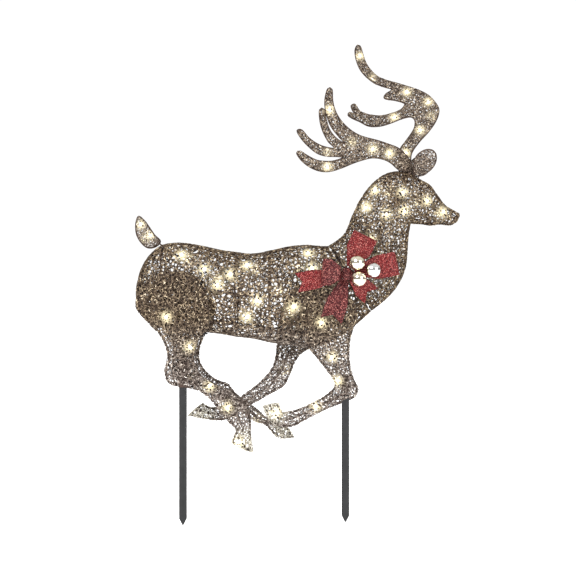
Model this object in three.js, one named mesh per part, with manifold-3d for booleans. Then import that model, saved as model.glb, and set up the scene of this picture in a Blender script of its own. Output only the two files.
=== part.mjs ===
// Light-up yard reindeer: a running deer of welded wire frames, each in its own net cover, that plugs together
// (neck, antlers, tail) and stands on two flat steel stakes. Millimetres. +X towards the nose, +Z up, the
// side that carries the bow is -Y. The origin is on the ground line, midway between the stakes.
import * as THREE from "three";
import Module from "manifold-3d";
import { mergeVertices } from "three/addons/utils/BufferGeometryUtils.js";

const wasm = await Module();
wasm.setup();
const { Manifold, Mesh } = wasm;
const root = new THREE.Group();

// ---- driving dimensions ----
const WIRE = 2.0; // radius of the frame wire
const SKIN = 1.0; // thickness the net cover stands for
const GAP = 0.35; // clearance between separate pieces
const LEAD = 1.1; // radius of the twin light lead
const LAMP = 3.1; // radius of a lamp holder
const STAKE_W = 18; // width of the flat stake bar
const STAKE_T = 4; // thickness of the stake bar
const TIP_Z = -145; // depth of the stake points below the ground line
const REAR_STAKE = [-190, -68], FRONT_STAKE = [191, -35.3];

const V = (x, y, z) => new THREE.Vector3(x, y, z);
const NEAR = -1, FAR = 1;

// ---- solid helpers ----
function solid(verts, tris) {
  const vp = new Float32Array(verts.length * 3);
  verts.forEach((p, i) => vp.set([p.x, p.y, p.z], i * 3));
  let m = new Manifold(new Mesh({ numProp: 3, vertProperties: vp, triVerts: new Uint32Array(tris.flat()) }));
  if (m.volume() < 0)
    m = new Manifold(new Mesh({ numProp: 3, vertProperties: vp, triVerts: new Uint32Array(tris.map(([a, b, c]) => [a, c, b]).flat()) }));
  return m;
}
// a three.js geometry as a solid, with its shared vertices merged
function body(geo) {
  for (const a of ["normal", "uv"]) geo.deleteAttribute(a);
  const g = mergeVertices(geo, 1e-4), pos = g.attributes.position, tris = [];
  const verts = Array.from({ length: pos.count }, (_, i) => V(pos.getX(i), pos.getY(i), pos.getZ(i)));
  for (let i = 0; i < g.index.count; i += 3) {
    const t = [g.index.getX(i), g.index.getX(i + 1), g.index.getX(i + 2)];
    if (t[0] !== t[1] && t[1] !== t[2] && t[2] !== t[0]) tris.push(t);
  }
  return solid(verts, tris);
}
const block = (size) => body(new THREE.BoxGeometry(...size));
const drum = (h, r, sides) => body(new THREE.CylinderGeometry(r, r, h, sides).rotateX(Math.PI / 2)); // centred, along Z
const orb = (r, sides) => body(new THREE.SphereGeometry(r, sides, Math.round(sides * 0.6)));
const plate = (points, t) => { // a flat outline in X and Y, t thick about Z = 0
  const shape = new THREE.Shape(points.map(([x, y]) => new THREE.Vector2(x, y)));
  return body(new THREE.ExtrudeGeometry(shape, { depth: t, bevelEnabled: false }).translate(0, 0, -t / 2));
};
// an outline moved outwards by d, corner by corner
function widen(points, d) {
  const n = points.length, area = points.reduce((s, [x, y], i) => s + x * points[(i + 1) % n][1] - points[(i + 1) % n][0] * y, 0);
  const turn = Math.sign(area) * d;
  return points.map(([x, y], i) => {
    const [px, py] = points[(i + n - 1) % n], [qx, qy] = points[(i + 1) % n];
    const a = Math.hypot(x - px, y - py), b = Math.hypot(qx - x, qy - y);
    const n1 = [(y - py) / a, (px - x) / a], n2 = [(qy - y) / b, (x - qx) / b];
    const k = turn / Math.max(0.45, 1 + n1[0] * n2[0] + n1[1] * n2[1]);
    return [x + (n1[0] + n2[0]) * k, y + (n1[1] + n2[1]) * k];
  });
}
const join = (...list) => Manifold.union(list.flat());
const plain = (m, tol) => m.asOriginal().simplify(tol); // fewer facets where wires meet

const LOOKS = [ // name, colour, roughness, metalness
  [/ear_cover|head_cover|torso_cover/, 0x8a6a42, 0.7, 0.2], [/antler_cover|tail_cover/, 0x9a8a76, 0.65, 0.25],
  [/leg_cover/, 0xa39785, 0.65, 0.25], [/frame|socket/, 0x2b1a12, 0.45, 0.5], [/stake/, 0x3a3a3c, 0.5, 0.6],
  [/bolt|nut/, 0xb8b8b8, 0.35, 0.9], [/string|inlet/, 0x2e1c14, 0.5, 0], [/bow_ball/, 0xc8b090, 0.15, 0.9], [/bow/, 0xa80f16, 0.45, 0.3]];
function add(name, m) {
  m = plain(m, /torso_cover|head_cover/.test(name) ? 0.18 : 0.04);
  const parts = m.decompose();
  if (parts.length > 1) { // slivers left by the cuts
    parts.sort((a, b) => b.volume() - a.volume());
    m = parts[0];
  }
  for (let turn = 0; turn < 3; turn++) { // settle on vertices a four-hundredth of a millimetre apart, then keep the one body
    const raw = m.getMesh(), q = new THREE.BufferGeometry(), v = new Float32Array(raw.numVert * 3);
    for (let i = 0; i < raw.numVert; i++) for (let c = 0; c < 3; c++) v[i * 3 + c] = Math.round(raw.vertProperties[i * raw.numProp + c] * 400) / 400;
    q.setAttribute("position", new THREE.BufferAttribute(v, 3));
    q.setIndex(new THREE.BufferAttribute(new Uint32Array(raw.triVerts), 1));
    const w = mergeVertices(q, 1e-3);
    const bodies = new Manifold(new Mesh({ numProp: 3, vertProperties: w.attributes.position.array, triVerts: new Uint32Array(w.index.array) })).decompose();
    m = bodies.sort((a, b) => b.volume() - a.volume())[0];
    if (bodies.length === 1) break;
  }
  const g = m.getMesh(), n = g.numProp, pos = new Float32Array(g.numVert * 3);
  for (let i = 0; i < g.numVert; i++) pos.set(g.vertProperties.subarray(i * n, i * n + 3), i * 3);
  const geo = new THREE.BufferGeometry();
  geo.setAttribute("position", new THREE.BufferAttribute(pos, 3));
  geo.setIndex(new THREE.BufferAttribute(new Uint32Array(g.triVerts), 1));
  const [, color, roughness, metalness] = LOOKS.find(([key]) => key.test(name));
  const mesh = new THREE.Mesh(geo, new THREE.MeshStandardMaterial({ color, roughness, metalness }));
  mesh.name = name;
  root.add(mesh);
  return m;
}

// A round wire of radius r along points, with flat ends or closed into a loop.
function rod(pts, r = WIRE, closed = false, sides = 4) {
  const n = pts.length;
  const at = (i) => (closed ? pts[(i + n) % n] : pts[Math.min(Math.max(i, 0), n - 1)]);
  const T = pts.map((p, i) => {
    const a = p.clone().sub(at(i - 1)), b = at(i + 1).clone().sub(p);
    return a.normalize().add(b.normalize()).normalize();
  });
  let N = Math.abs(T[0].y) < 0.9 ? V(0, 1, 0) : V(1, 0, 0);
  const carry = (v, t) => v.clone().addScaledVector(t, -v.dot(t)).normalize();
  const Ns = T.map((t) => (N = carry(N, t)));
  if (closed) {
    const back = carry(Ns[n - 1], T[0]);
    const turn = Math.atan2(back.clone().cross(Ns[0]).dot(T[0]), back.dot(Ns[0]));
    Ns.forEach((v, i) => v.applyAxisAngle(T[i], (turn * i) / n));
  }
  const verts = [], tris = [];
  pts.forEach((p, i) => {
    const B = T[i].clone().cross(Ns[i]);
    for (let k = 0; k < sides; k++) {
      const a = (2 * Math.PI * k) / sides;
      verts.push(p.clone().addScaledVector(Ns[i], r * Math.cos(a)).addScaledVector(B, r * Math.sin(a)));
    }
  });
  const span = closed ? n : n - 1;
  for (let i = 0; i < span; i++)
    for (let k = 0; k < sides; k++) {
      const a = i * sides + k, b = i * sides + ((k + 1) % sides), c = ((i + 1) % n) * sides + k, d = ((i + 1) % n) * sides + ((k + 1) % sides);
      tris.push([a, b, d], [a, d, c]);
    }
  if (!closed)
    for (let k = 1; k < sides - 1; k++) {
      tris.push([0, k + 1, k]);
      const o = (n - 1) * sides;
      tris.push([o, o + k, o + k + 1]);
    }
  return solid(verts, tris);
}
const bar = (a, b, r = WIRE, sides = 6) => rod([a, b], r, false, sides);

// ---- lofted bodies: one row per cross section, from an edge point (x1, z1) to the opposite one (x2, z2), centred at
// distance y from the middle plane, with half-thickness `out` away from it and `inn` towards it ----
function section(rows, side, around, power) {
  const bulge = (v) => Math.sign(v) * Math.abs(v) ** power;
  return rows.map(([x1, z1, x2, z2, y, out, inn]) => {
    const ring = [];
    for (let k = 0; k < around; k++) {
      const a = (2 * Math.PI * k) / around, c = bulge(Math.cos(a)), s = bulge(Math.sin(a));
      ring.push(V((x1 + x2) / 2 + ((x1 - x2) / 2) * c, side * (y + (s > 0 ? out : inn) * s), (z1 + z2) / 2 + ((z1 - z2) / 2) * c));
    }
    return ring;
  });
}
// Legs: net stretched from a front wire over a ridge wire to a rear wire, rounded over each edge wire.
function legSection(rows, side) {
  return rows.map(([x1, z1, x2, z2, y, out, inn]) => {
    const half = Math.hypot(x1 - x2, z1 - z2) / 2, e = 1 - 2.6 / half, so = Math.min(3.8, out * 0.8), si = Math.min(3.8, inn * 0.95);
    return [[1, 0], [e, so], [0, out], [-e, so], [-1, 0], [-e, -si], [0, -inn], [e, -si]].map(([c, s]) =>
      V((x1 + x2) / 2 + ((x1 - x2) / 2) * c, side * (y + s), (z1 + z2) / 2 + ((z1 - z2) / 2) * c));
  });
}
const middle = (ring) => ring.reduce((s, p) => s.add(p), V(0, 0, 0)).divideScalar(ring.length);

// Moves a loft's surface inwards by d. At an open end the loft is carried on by 3 mm instead, to cut the end away.
function inward(G, d, openStart = false, openEnd = false) {
  const n = G.length, mids = G.map(middle);
  return G.map((ring, i) => {
    const a = G[Math.max(i - 1, 0)], b = G[Math.min(i + 1, n - 1)], m = ring.length;
    const along = i === 0 ? mids[0].clone().sub(mids[1]).normalize() : i === n - 1 ? mids[n - 1].clone().sub(mids[n - 2]).normalize() : null;
    const open = (i === 0 && openStart) || (i === n - 1 && openEnd);
    return ring.map((p, k) => {
      const nrm = b[k].clone().sub(a[k]).cross(ring[(k + 1) % m].clone().sub(ring[(k + m - 1) % m])).normalize();
      if (nrm.dot(p.clone().sub(mids[i])) < 0) nrm.negate();
      const q = p.clone().addScaledVector(nrm, -d);
      if (along) q.addScaledVector(along, open ? 3 : -d);
      return q;
    });
  });
}
function loft(G) {
  const verts = G.flat(), m = G[0].length, n = G.length, tris = [];
  for (let i = 0; i < n - 1; i++)
    for (let k = 0; k < m; k++) {
      const a = i * m + k, b = i * m + ((k + 1) % m), c = a + m, d = b + m;
      tris.push([a, b, d], [a, d, c]);
    }
  const s = verts.length;
  verts.push(middle(G[0]), middle(G[n - 1]));
  for (let k = 0; k < m; k++) {
    const o = (n - 1) * m, j = (k + 1) % m;
    tris.push([s, j, k], [s + 1, o + k, o + j]);
  }
  return solid(verts, tris);
}
// distance of a loft's surface from the middle plane at (x, z), on one side
function depthAt(G, side, x, z) {
  let best = 0;
  const m = G[0].length;
  for (let i = 0; i < G.length - 1; i++)
    for (let k = 0; k < m; k++) {
      const q = [G[i][k], G[i][(k + 1) % m], G[i + 1][(k + 1) % m], G[i + 1][k]];
      for (const [a, b, c] of [[q[0], q[1], q[2]], [q[0], q[2], q[3]]]) {
        const det = (b.x - a.x) * (c.z - a.z) - (c.x - a.x) * (b.z - a.z);
        if (Math.abs(det) < 1e-6) continue;
        const u = ((x - a.x) * (c.z - a.z) - (c.x - a.x) * (z - a.z)) / det, v = ((b.x - a.x) * (z - a.z) - (x - a.x) * (b.z - a.z)) / det;
        if (u < 0 || v < 0 || u + v > 1) continue;
        best = Math.max(best, side * (a.y + u * (b.y - a.y) + v * (c.y - a.y)));
      }
    }
  return best;
}
const lampAt = (p, dir, length, r = LAMP) => bar(p, p.clone().addScaledVector(dir, length), r, 5);

// ---- torso and neck/head sections: back edge, belly edge, half-width ----
const TORSO = [
  [-307, 415, -307, 372, 14], [-295, 458, -298, 343, 40], [-274, 491, -276, 324, 56], [-245, 511, -245, 312, 67],
  [-202, 518, -202, 305, 74], [-151, 511, -149, 301, 78], [-96, 498, -96, 296, 82], [-42, 492, -41, 287, 84],
  [10, 497, 12, 278, 84], [55, 508, 60, 270, 79], [95, 513, 106, 264, 73], [124, 511, 158, 279, 67],
  [140, 509, 210, 313, 61], [151, 508, 254, 353, 56],
].map(([a, b, c, d, w]) => [a, b, c, d, 0, w, w]);
const HEAD = [
  [153, 509, 256, 354, 56], [173, 523, 289, 379, 53], [188, 538, 312, 403, 50], [198, 554, 329, 432, 46],
  [206, 574, 338, 461, 43], [214, 593, 342, 492, 40], [225, 617, 344, 521, 38], [240, 640, 347, 545, 37],
  [259, 661, 350, 562, 38], [281, 677, 356, 562, 39], [303, 687, 365, 561, 40], [328, 688, 375, 560, 39],
  [353, 680, 384, 559, 36], [374, 667, 395, 558, 32], [395, 656, 405, 558, 27], [411, 635, 415, 559, 23],
  [431, 609, 431, 558, 19], [452, 595, 446, 558, 16], [467, 586, 459, 566, 11],
].map(([a, b, c, d, w]) => [a, b, c, d, 0, w, w]);

// ---- legs: rear (or upper) edge, front (or lower) edge, distance from the middle plane, half-thicknesses ----
const HIND_TOP = [
  [-242, 445, -184, 445, 88, 6, 4], [-274, 422, -156, 424, 88, 10, 4], [-293, 392, -137, 399, 88, 13, 4],
  [-298, 364, -128, 369, 88, 14, 4], [-282, 341, -126, 341, 86, 15, 5], [-263, 320, -133, 315, 82, 15, 9],
  [-245, 301, -150, 292, 77, 15, 13], [-232, 275, -159, 270, 72, 15, 15], [-227, 247, -164, 247, 68, 14, 14],
  [-234, 211, -156, 216, 64, 14, 14], [-223, 184, -134, 192, 62, 14, 14], [-188, 176, -113, 180, 62, 13, 12],
  [-153, 167, -90, 172, 62, 11, 11],
];
const HIND_NEAR = [...HIND_TOP,
  [-129, 148, -64, 154, 62, 11, 11], [-111, 127, -43, 134, 62, 12, 12], [-95, 106, -34, 115, 62, 12, 12],
  [-78, 87, -31, 94, 62, 11, 11], [-68, 75, -31, 72, 62, 11, 11], [-77, 47, -29, 50, 62, 14, 14], [-62, 36, -24, 22, 62, 12, 12]];
const HIND_FAR = [...HIND_TOP,
  [-134, 142, -73, 150, 62, 11, 11], [-102, 128, -46, 130, 62, 11, 11], [-65, 109, -19, 110, 62, 12, 12],
  [-31, 82, -1, 94, 62, 12, 12], [1, 70, 26, 81, 62, 11, 11], [13, 54, 55, 66, 62, 13, 13], [31, 38, 72, 41, 62, 12, 12]];
const FRONT_NEAR = [
  [106, 431, 170, 428, 77, 6, 4], [86, 400, 199, 391, 77, 10, 4], [83, 361, 216, 357, 77, 12, 4],
  [87, 325, 215, 331, 74, 13, 7], [94, 291, 207, 309, 65, 14, 12], [105, 265, 201, 279, 53, 15, 14],
  [124, 242, 200, 250, 43, 15, 14], [147, 212, 203, 222, 36, 14, 14], [163, 188, 212, 193, 32, 14, 14],
  [165, 176, 222, 169, 31, 14, 14], [155, 163, 214, 149, 30, 13, 13], [139, 151, 186, 136, 30, 12, 12],
  [110, 135, 139, 117, 30, 11, 11], [77, 121, 99, 96, 30, 11, 11], [55, 116, 69, 80, 30, 12, 12],
  [43, 116, 34, 79, 30, 12, 12], [37, 124, 11, 94, 30, 12, 12], [33, 136, -6, 128, 30, 13, 13]];
const FRONT_FAR = [
  [76, 408, 139, 408, 84, 6, 4], [50, 379, 154, 379, 84, 10, 4], [35, 341, 157, 341, 82, 12, 4],
  [29, 305, 154, 305, 72, 13, 8], [27, 268, 124, 270, 54, 14, 13], [26, 252, 89, 249, 45, 14, 14],
  [22, 230, 73, 228, 38, 14, 14], [14, 211, 64, 206, 34, 14, 14], [-1, 192, 55, 186, 31, 14, 14],
  [-19, 175, 44, 169, 30, 13, 13], [-48, 153, 2, 145, 30, 12, 12], [-76, 134, -42, 119, 30, 11, 11],
  [-92, 127, -68, 102, 30, 12, 12], [-112, 121, -101, 87, 30, 12, 12], [-134, 120, -139, 88, 30, 12, 12], [-152, 130, -189, 98, 30, 13, 13]];

const torsoG = section(TORSO, NEAR, 16, 0.92);
const headG = section(HEAD, NEAR, 12, 0.95);

// ---- the plane where the neck plugs on ----
const seatA = V(151, 0, 508), seatB = V(254, 0, 353);
const seatDir = seatB.clone().sub(seatA).normalize();
const PULL = V(-seatDir.z, 0, seatDir.x); // the neck pulls off along this line
const seat = (t, out = 0, y = 0) => seatA.clone().lerp(seatB, t).addScaledVector(PULL, out).setY(y);

// ---- wire frames ----
const line = (G, k, from = 0, to = G.length - 1) => G.slice(from, to + 1).map((r) => r[k]);
// leaves out the points that lie within tol of a straight run between the ones that stay
function thin(pts, tol) {
  if (pts.length < 3) return pts;
  const a = pts[0], b = pts[pts.length - 1], ab = b.clone().sub(a);
  let far = 0, at = 0;
  pts.forEach((p, i) => {
    const t = Math.min(1, Math.max(0, p.clone().sub(a).dot(ab) / ab.lengthSq())), d = a.clone().addScaledVector(ab, t).distanceTo(p);
    if (d > far) [far, at] = [d, i];
  });
  return far <= tol ? [a, b] : [...thin(pts.slice(0, at + 1), tol).slice(0, -1), ...thin(pts.slice(at), tol)];
}
const wireAlong = (G, k, tol, from, to) => thin(line(G, k, from, to), tol);

const torsoIn = inward(torsoG, 4.3);
// eye plate that a leg bolt passes through, lying across Y
const eye = (x, y, z, r = 8, hole = 3.4, t = 1.4) =>
  drum(t * 2, r, 12).subtract(drum(t * 3, hole, 8)).rotate([90, 0, 0]).translate([x, y, z]);
const HIND_BOLT = [-212, 396], FRONT_BOLT_N = [140, 374], FRONT_BOLT_F = [87, 360];
const BOLTS = [
  ["hind_near", NEAR, HIND_BOLT, 88], ["hind_far", FAR, HIND_BOLT, 88],
  ["front_near", NEAR, FRONT_BOLT_N, 77], ["front_far", FAR, FRONT_BOLT_F, 84]];
const eyeDepth = ([x, z], side) => depthAt(torsoIn, side, x, z) - WIRE - 1.0;
function torsoFrame(r) {
  const out = [0, 4, 6, 8, 10, 12].map((k) => rod(wireAlong(torsoIn, k, 1.1), r)), eyes = [];
  for (const i of [0, 3, 8, 13]) out.push(rod(torsoIn[i].filter((_, k) => i > 0 || k % 2 === 0), r, true));
  for (const t of [0.22, 0.78]) { // cross bars that carry the neck sockets
    const c = seat(t, -5.5), w = 43;
    out.push(bar(V(c.x, -w, c.z), V(c.x, w, c.z), r));
  }
  for (const [, side, at] of BOLTS) {
    const y = eyeDepth(at, side) * side;
    eyes.push(eye(at[0], y, at[1], 8 + (r - WIRE), 3.5 - (r - WIRE), 1.4 + (r - WIRE)));
    // short strut from the eye to the side stringer on each side
    const ring = torsoIn.map((g) => g[side === NEAR ? 4 : 12]);
    const i = ring.findIndex((p) => p.x > at[0]), f = (at[0] + 26 - ring[i - 1].x) / (ring[i].x - ring[i - 1].x);
    for (const dx of [-26, 26]) {
      const j = ring.findIndex((p) => p.x > at[0] + dx), g = (at[0] + dx - ring[j - 1].x) / (ring[j].x - ring[j - 1].x);
      const q = ring[j - 1].clone().lerp(ring[j], g);
      out.push(bar(V(at[0] + Math.sign(dx) * 6.5, y, at[1]), q, r, 5));
    }
  }
  return join(plain(join(out), 0.8), ...eyes);
}

const headIn = inward(headG, 4.2);
function headFrame(r) {
  const n = headG.length - 1;
  const out = [rod(wireAlong(headIn, 0, 0.9), r), rod(wireAlong(headIn, 6, 0.9), r)];
  for (const k of [3, 9]) out.push(rod(wireAlong(headIn, k, 0.9, 0, n - 1), r));
  for (const i of [0, 4, 9, 18]) out.push(rod(headIn[i].filter((_, k) => i < 10 || k % 3 === 0), r, true));
  const a = seat(0, 6), up = a.clone().addScaledVector(seatDir, 4), b = seat(1, 6).addScaledVector(seatDir, -4);
  out.push(bar(up, b, r)); // upright of the neck ring, which carries the two pegs
  return join(plain(join(out), 0.6), ...[0.22, 0.78].map((t) => bar(seat(t, 6), seat(t, -34), r, 8)));
}
const NECK_SOCKETS = (grow) => [0.22, 0.78].map((t) => bar(seat(t, -4), seat(t, -32), 4.2 + grow, 10));

// ---- legs ----
function leg(rows, side, boltY, bolt, openZ, openY, rings, innerFrom, sleeve) {
  const G = legSection(rows, side);
  const I = inward(G, 4.1), inside = loft(inward(G, SKIN + GAP + 0.05));
  const frame = (r) => {
    const last = G.length - 1, eyes = [];
    const out = [rod(wireAlong(I, 0, 1.3), r), rod(wireAlong(I, 4, 1.3), r), rod(wireAlong(I, 2, 1.3), r), rod(wireAlong(I, 6, 1.3, innerFrom, last), r)];
    for (const i of rings) {
      if (i >= innerFrom) out.push(rod([0, 2, 4, 6].map((k) => I[i][k]), r, true));
      else out.push(rod([4, 3, 2, 1, 0].map((k) => I[i][k]), r), bar(I[i][0], I[i][4], r, 5));
    }
    out.push(bar(I[0][0], I[0][4], r, 5), rod([4, 3, 2, 1, 0].map((k) => I[0][k]), r));
    out.push(bar(I[last][0], I[last][4], r, 5), bar(I[last][2], I[last][6], r, 5), bar(I[innerFrom][6], I[innerFrom][4], r, 5));
    const hit = (k, z) => { // where an edge wire is at height z
      const L = line(I, k), j = L.findIndex((p) => p.z < z);
      return L[j - 1].clone().lerp(L[j], (z - L[j - 1].z) / (L[j].z - L[j - 1].z));
    };
    if (bolt) { // bar across the thigh with the bolt's eye in its middle
      const y = side * (boltY - 0.6);
      const p = hit(0, bolt[1]), q = hit(4, bolt[1]), e = V(bolt[0], y, bolt[1]);
      const toward = (v) => e.clone().addScaledVector(v.clone().sub(e).normalize(), 6.5);
      out.push(bar(p, toward(p), r, 5), bar(toward(q), q, r, 5));
      eyes.push(eye(e.x, e.y, e.z, 8 + (r - WIRE), 3.5 - (r - WIRE), 1.4 + (r - WIRE)));
    }
    if (sleeve)
      for (const z of sleeve.z) { // bars that the stake sleeve is welded to, on its inner side
        const y = sleeve.at[1] + STAKE_T / 2 + 3.2, p = hit(0, z), q = hit(4, z);
        out.push(sleeve.edge === 0 ? rod([p, V(sleeve.at[0] - 9, y, z), V(sleeve.at[0] + 9, y, z)], r) : rod([q, V(sleeve.at[0] + 9, y, z), V(sleeve.at[0] - 9, y, z)], r));
      }
    return join(plain(plain(join(out), 0.7).intersect(inside), 0.1), ...eyes);
  };
  const far = 200;
  const skin = loft(G).subtract(loft(inward(G, SKIN)))
    .subtract(block([900, far, 400]).translate([0, side * (openY - far / 2), openZ + 200]));
  const wall = loft(G).subtract(inside).subtract(block([900, far, 402]).translate([0, side * (openY - far / 2), openZ + 200]));
  return { G, I, frame, skin, wall, innerFrom };
}
const sleeveBox = (at, z0, z1, grow = 0) =>
  block([STAKE_W + 2.6 + 2 * grow, STAKE_T + 2.6 + 2 * grow, z1 - z0 + 2 * grow]).translate([at[0], at[1], (z0 + z1) / 2]);
const SLEEVES = { rear: [176, 236], front: [164, 204] };
const legs = {
  hind_near: leg(HIND_NEAR, NEAR, 88, HIND_BOLT, 344, 85.1, [3, 8, 14], 6,
    { at: REAR_STAKE, z: [196, 228], edge: 0 }),
  hind_far: leg(HIND_FAR, FAR, 88, HIND_BOLT, 344, 85.1, [3, 8, 14], 6),
  front_near: leg(FRONT_NEAR, NEAR, 77, FRONT_BOLT_N, 346, 74.1, [1, 6, 12], 6,
    { at: FRONT_STAKE, z: [176, 198], edge: 4 }),
  front_far: leg(FRONT_FAR, FAR, 84, FRONT_BOLT_F, 345, 81.1, [1, 7, 12], 5),
};

// ---- flat parts (antlers, ears, tail): a wire outline in a tilted plane with net stretched round it ----
function flat({ outline, base, lean, side, half, wire = WIRE, edge = 3.6, extra = [] }) {
  const [y0, z0] = base, c = Math.cos(lean), s = Math.sin(lean);
  const put = (u, v, w = 0) => V(u, side * (y0 + v * s + w * c), z0 + v * c - w * s);
  const pts = outline.map(([x, z]) => [x, (z - z0) / c]);
  const toWorld = (m) => {
    const o = put(0, 0), eu = V(1, 0, 0), ev = put(0, 1).sub(o), ew = put(0, 0, 1).sub(o);
    let r = m.transform([eu.x, eu.y, eu.z, 0, ev.x, ev.y, ev.z, 0, ew.x, ew.y, ew.z, 0, o.x, o.y, o.z, 1]);
    return r;
  };
  const slab = (grow, h) => toWorld(plate(widen(pts, grow), 2 * h));
  const frame = (r) => {
    // the wire runs just inside the outline; corners come from the outline itself
    return join([rod(widen(pts, -wire).map(([u, v]) => put(u, v)), r, true), ...extra.map((e) => e(put, r))]);
  };
  const skin = slab(GAP + SKIN + 0.3, half).subtract(slab(GAP + 0.3, half - SKIN));
  return { put, frame, skin, v: (z) => (z - z0) / c, slab };
}

const ANTLER_BASE = [14, 691], ANTLER_LEAN = 0.33;
// The far antler leans away behind the near one. Its points are listed as they line up from EYE, square on
// to the body, and leanBack carries each one out to the depth where it really lies.
const EYE = { x: 55.2, z: 408, away: 2500 };
function leanBack([x, z]) {
  if (z <= ANTLER_BASE[1]) return [x, z];
  const slope = Math.tan(ANTLER_LEAN) / EYE.away;
  const scale = (1 + ANTLER_BASE[0] / EYE.away + slope * (EYE.z - ANTLER_BASE[1])) / (1 - slope * (z - EYE.z));
  return [Math.round(EYE.x + (x - EYE.x) * scale), Math.round(EYE.z + (z - EYE.z) * scale)];
}
const NEAR_ANTLER = [
  [322, 691], [301, 707], [281, 716], [256, 719], [232, 714], [208, 706], [183, 696], [155, 688], [130, 689], [106, 699], [87, 714], [78, 728],
  [84, 731], [103, 720], [126, 710], [155, 708], [175, 712], [188, 719], [171, 722], [146, 723], [124, 730], [101, 748], [85, 766], [79, 778],
  [87, 779], [103, 762], [124, 748], [146, 740], [168, 739], [152, 755], [139, 778], [132, 801], [131, 824], [138, 825], [144, 801], [152, 780],
  [168, 761], [193, 748], [176, 767], [157, 791], [146, 820], [143, 846], [149, 870], [156, 869], [158, 846], [164, 824], [178, 801], [198, 782],
  [219, 769], [239, 762], [264, 756], [290, 748], [318, 737], [340, 716], [344, 691]];
const FAR_ANTLER = [
  [354, 691], [348, 712], [351, 734], [370, 760], [390, 782], [405, 803], [414, 823], [415, 839], [406, 855], [391, 869], [371, 880], [346, 889],
  [319, 897], [293, 904], [270, 914], [252, 931], [240, 950], [233, 971], [228, 985], [223, 989], [218, 981], [218, 966], [223, 949], [231, 931],
  [245, 915], [263, 901], [286, 892], [307, 885], [291, 873], [289, 864], [313, 859], [333, 854], [337, 846], [325, 834], [304, 825], [278, 820],
  [254, 822], [236, 826], [224, 834], [215, 847], [209, 845], [212, 834],
  [220, 823], [204, 828], [201, 823], [212, 815], [229, 808], [250, 798], [275, 798], [301, 805], [327, 815], [350, 820], [361, 812],
  [361, 794], [353, 778], [338, 758], [326, 742], [323, 720], [326, 691]].map(leanBack);
const peg = (u, v0, v1) => (put, r) => bar(put(u, v0), put(u, v1), r + 0.4, 8);
const antlerN = flat({ outline: NEAR_ANTLER, base: ANTLER_BASE, lean: ANTLER_LEAN, side: NEAR, half: 6.2,
  wire: 1.6, extra: [peg(331, 6, -34)] });
const antlerF = flat({ outline: FAR_ANTLER, base: ANTLER_BASE, lean: ANTLER_LEAN, side: FAR, half: 6.2,
  wire: 1.6, extra: [peg(340, 4, -34)] });
const EAR = [[358, 681], [355, 700], [358, 716], [368, 726], [381, 731], [394, 729], [402, 719], [402, 705], [394, 691], [380, 682]];
const EAR_LEAN = 0.6;
const ears = [NEAR, FAR].map((side) => flat({ outline: EAR, base: [25, 681], lean: EAR_LEAN, side, half: 3.6, wire: 1.6,
  extra: [(put, r) => bar(put(366, 3), put(366, -15), Math.min(r, r - 0.4), 6)] }));
const TAIL = [[-254, 520], [-266, 533], [-276, 547], [-284, 559], [-293, 570], [-302, 577], [-306, 570], [-308, 554], [-305, 535], [-295, 518], [-281, 507], [-264, 509]];
const TAIL_PULL = V(-0.8, 0, 0.6);
const tailRoot = V(-262, 0, 521);
const tail = flat({ outline: TAIL, base: [0, 520], lean: 0, side: NEAR, half: 8.5,
  extra: [(put, r) => bar(tailRoot.clone(), tailRoot.clone().addScaledVector(TAIL_PULL, -52), r, 8), (put, r) => bar(V(-284, 0, 512), V(-284, 0, 555), r, 5)] });

const antlerSocket = (a, u, grow) => bar(a.put(u, -9), a.put(u, -32), 4.2 + grow, 10);
const tailSocket = (grow) => bar(tailRoot.clone().addScaledVector(TAIL_PULL, -28), tailRoot.clone().addScaledVector(TAIL_PULL, -50), 4.2 + grow, 10);

// ---- light strings: twin lead with lamp holders that stand up to just under the cover ----
function torsoLamp(side, x, z) {
  const y = depthAt(torsoG, side, x, z);
  return { base: V(x, side * (y - 16), z), lamp: lampAt(V(x, side * (y - 17), z), V(0, side, 0), 17 - 3.2) };
}
const NEAR_TORSO = [[-195, 486], [-140, 452], [-109, 415], [-79, 440], [-41, 462], [-17, 379], [-41, 340], [69, 365], [112, 455], [103, 490]];
const FAR_TORSO = [[-190, 480], [-120, 430], [-25, 455], [30, 400], [80, 460], [60, 350]];
function legString(L, spots, from, shift = {}) {
  // the lead runs along the leg a little outside its middle and in front of the ridge wire
  const along = L.G.slice(from).map((r) => {
    const c = r[0].clone().add(r[4]).multiplyScalar(0.5), e = r[4].clone().sub(r[0]).multiplyScalar(0.14);
    return c.add(e);
  });
  for (const [i, f] of Object.entries(shift)) {
    const r = L.G[i];
    along[i - from] = r[0].clone().lerp(r[4], 0.5 + f);
  }
  const side = Math.sign(L.G[8][0].y);
  along.forEach((p, i) => (p.y = L.G[from + i][0].y + side * (from + i < L.innerFrom ? 4.1 : 0.4)));

  const out = [rod(along, LEAD, false, 4)];
  for (const i of spots) {
    const p = along[i - from], y = side * depthAt(L.G, side, p.x, p.z);
    out.push(lampAt(p.clone().setY(p.y - side * 0.6), V(0, side, 0), Math.abs(y - p.y) - 2.4));
  }
  return { solid: join(out), start: along[0] };
}
const legSpots = {
  hind_near: legString(legs.hind_near, [4, 7, 11, 14, 18], 4, { 7: 0.3, 8: 0.33, 9: 0.34, 10: 0.36, 11: 0.3 }),
  hind_far: legString(legs.hind_far, [4, 10, 16], 4),
  front_near: legString(legs.front_near, [3, 6, 8, 12, 16], 2, { 6: -0.05, 7: -0.14, 8: -0.3, 9: -0.32, 10: -0.2 }),
  front_far: legString(legs.front_far, [3, 7, 12], 2, { 7: 0.19 }),
};
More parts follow.
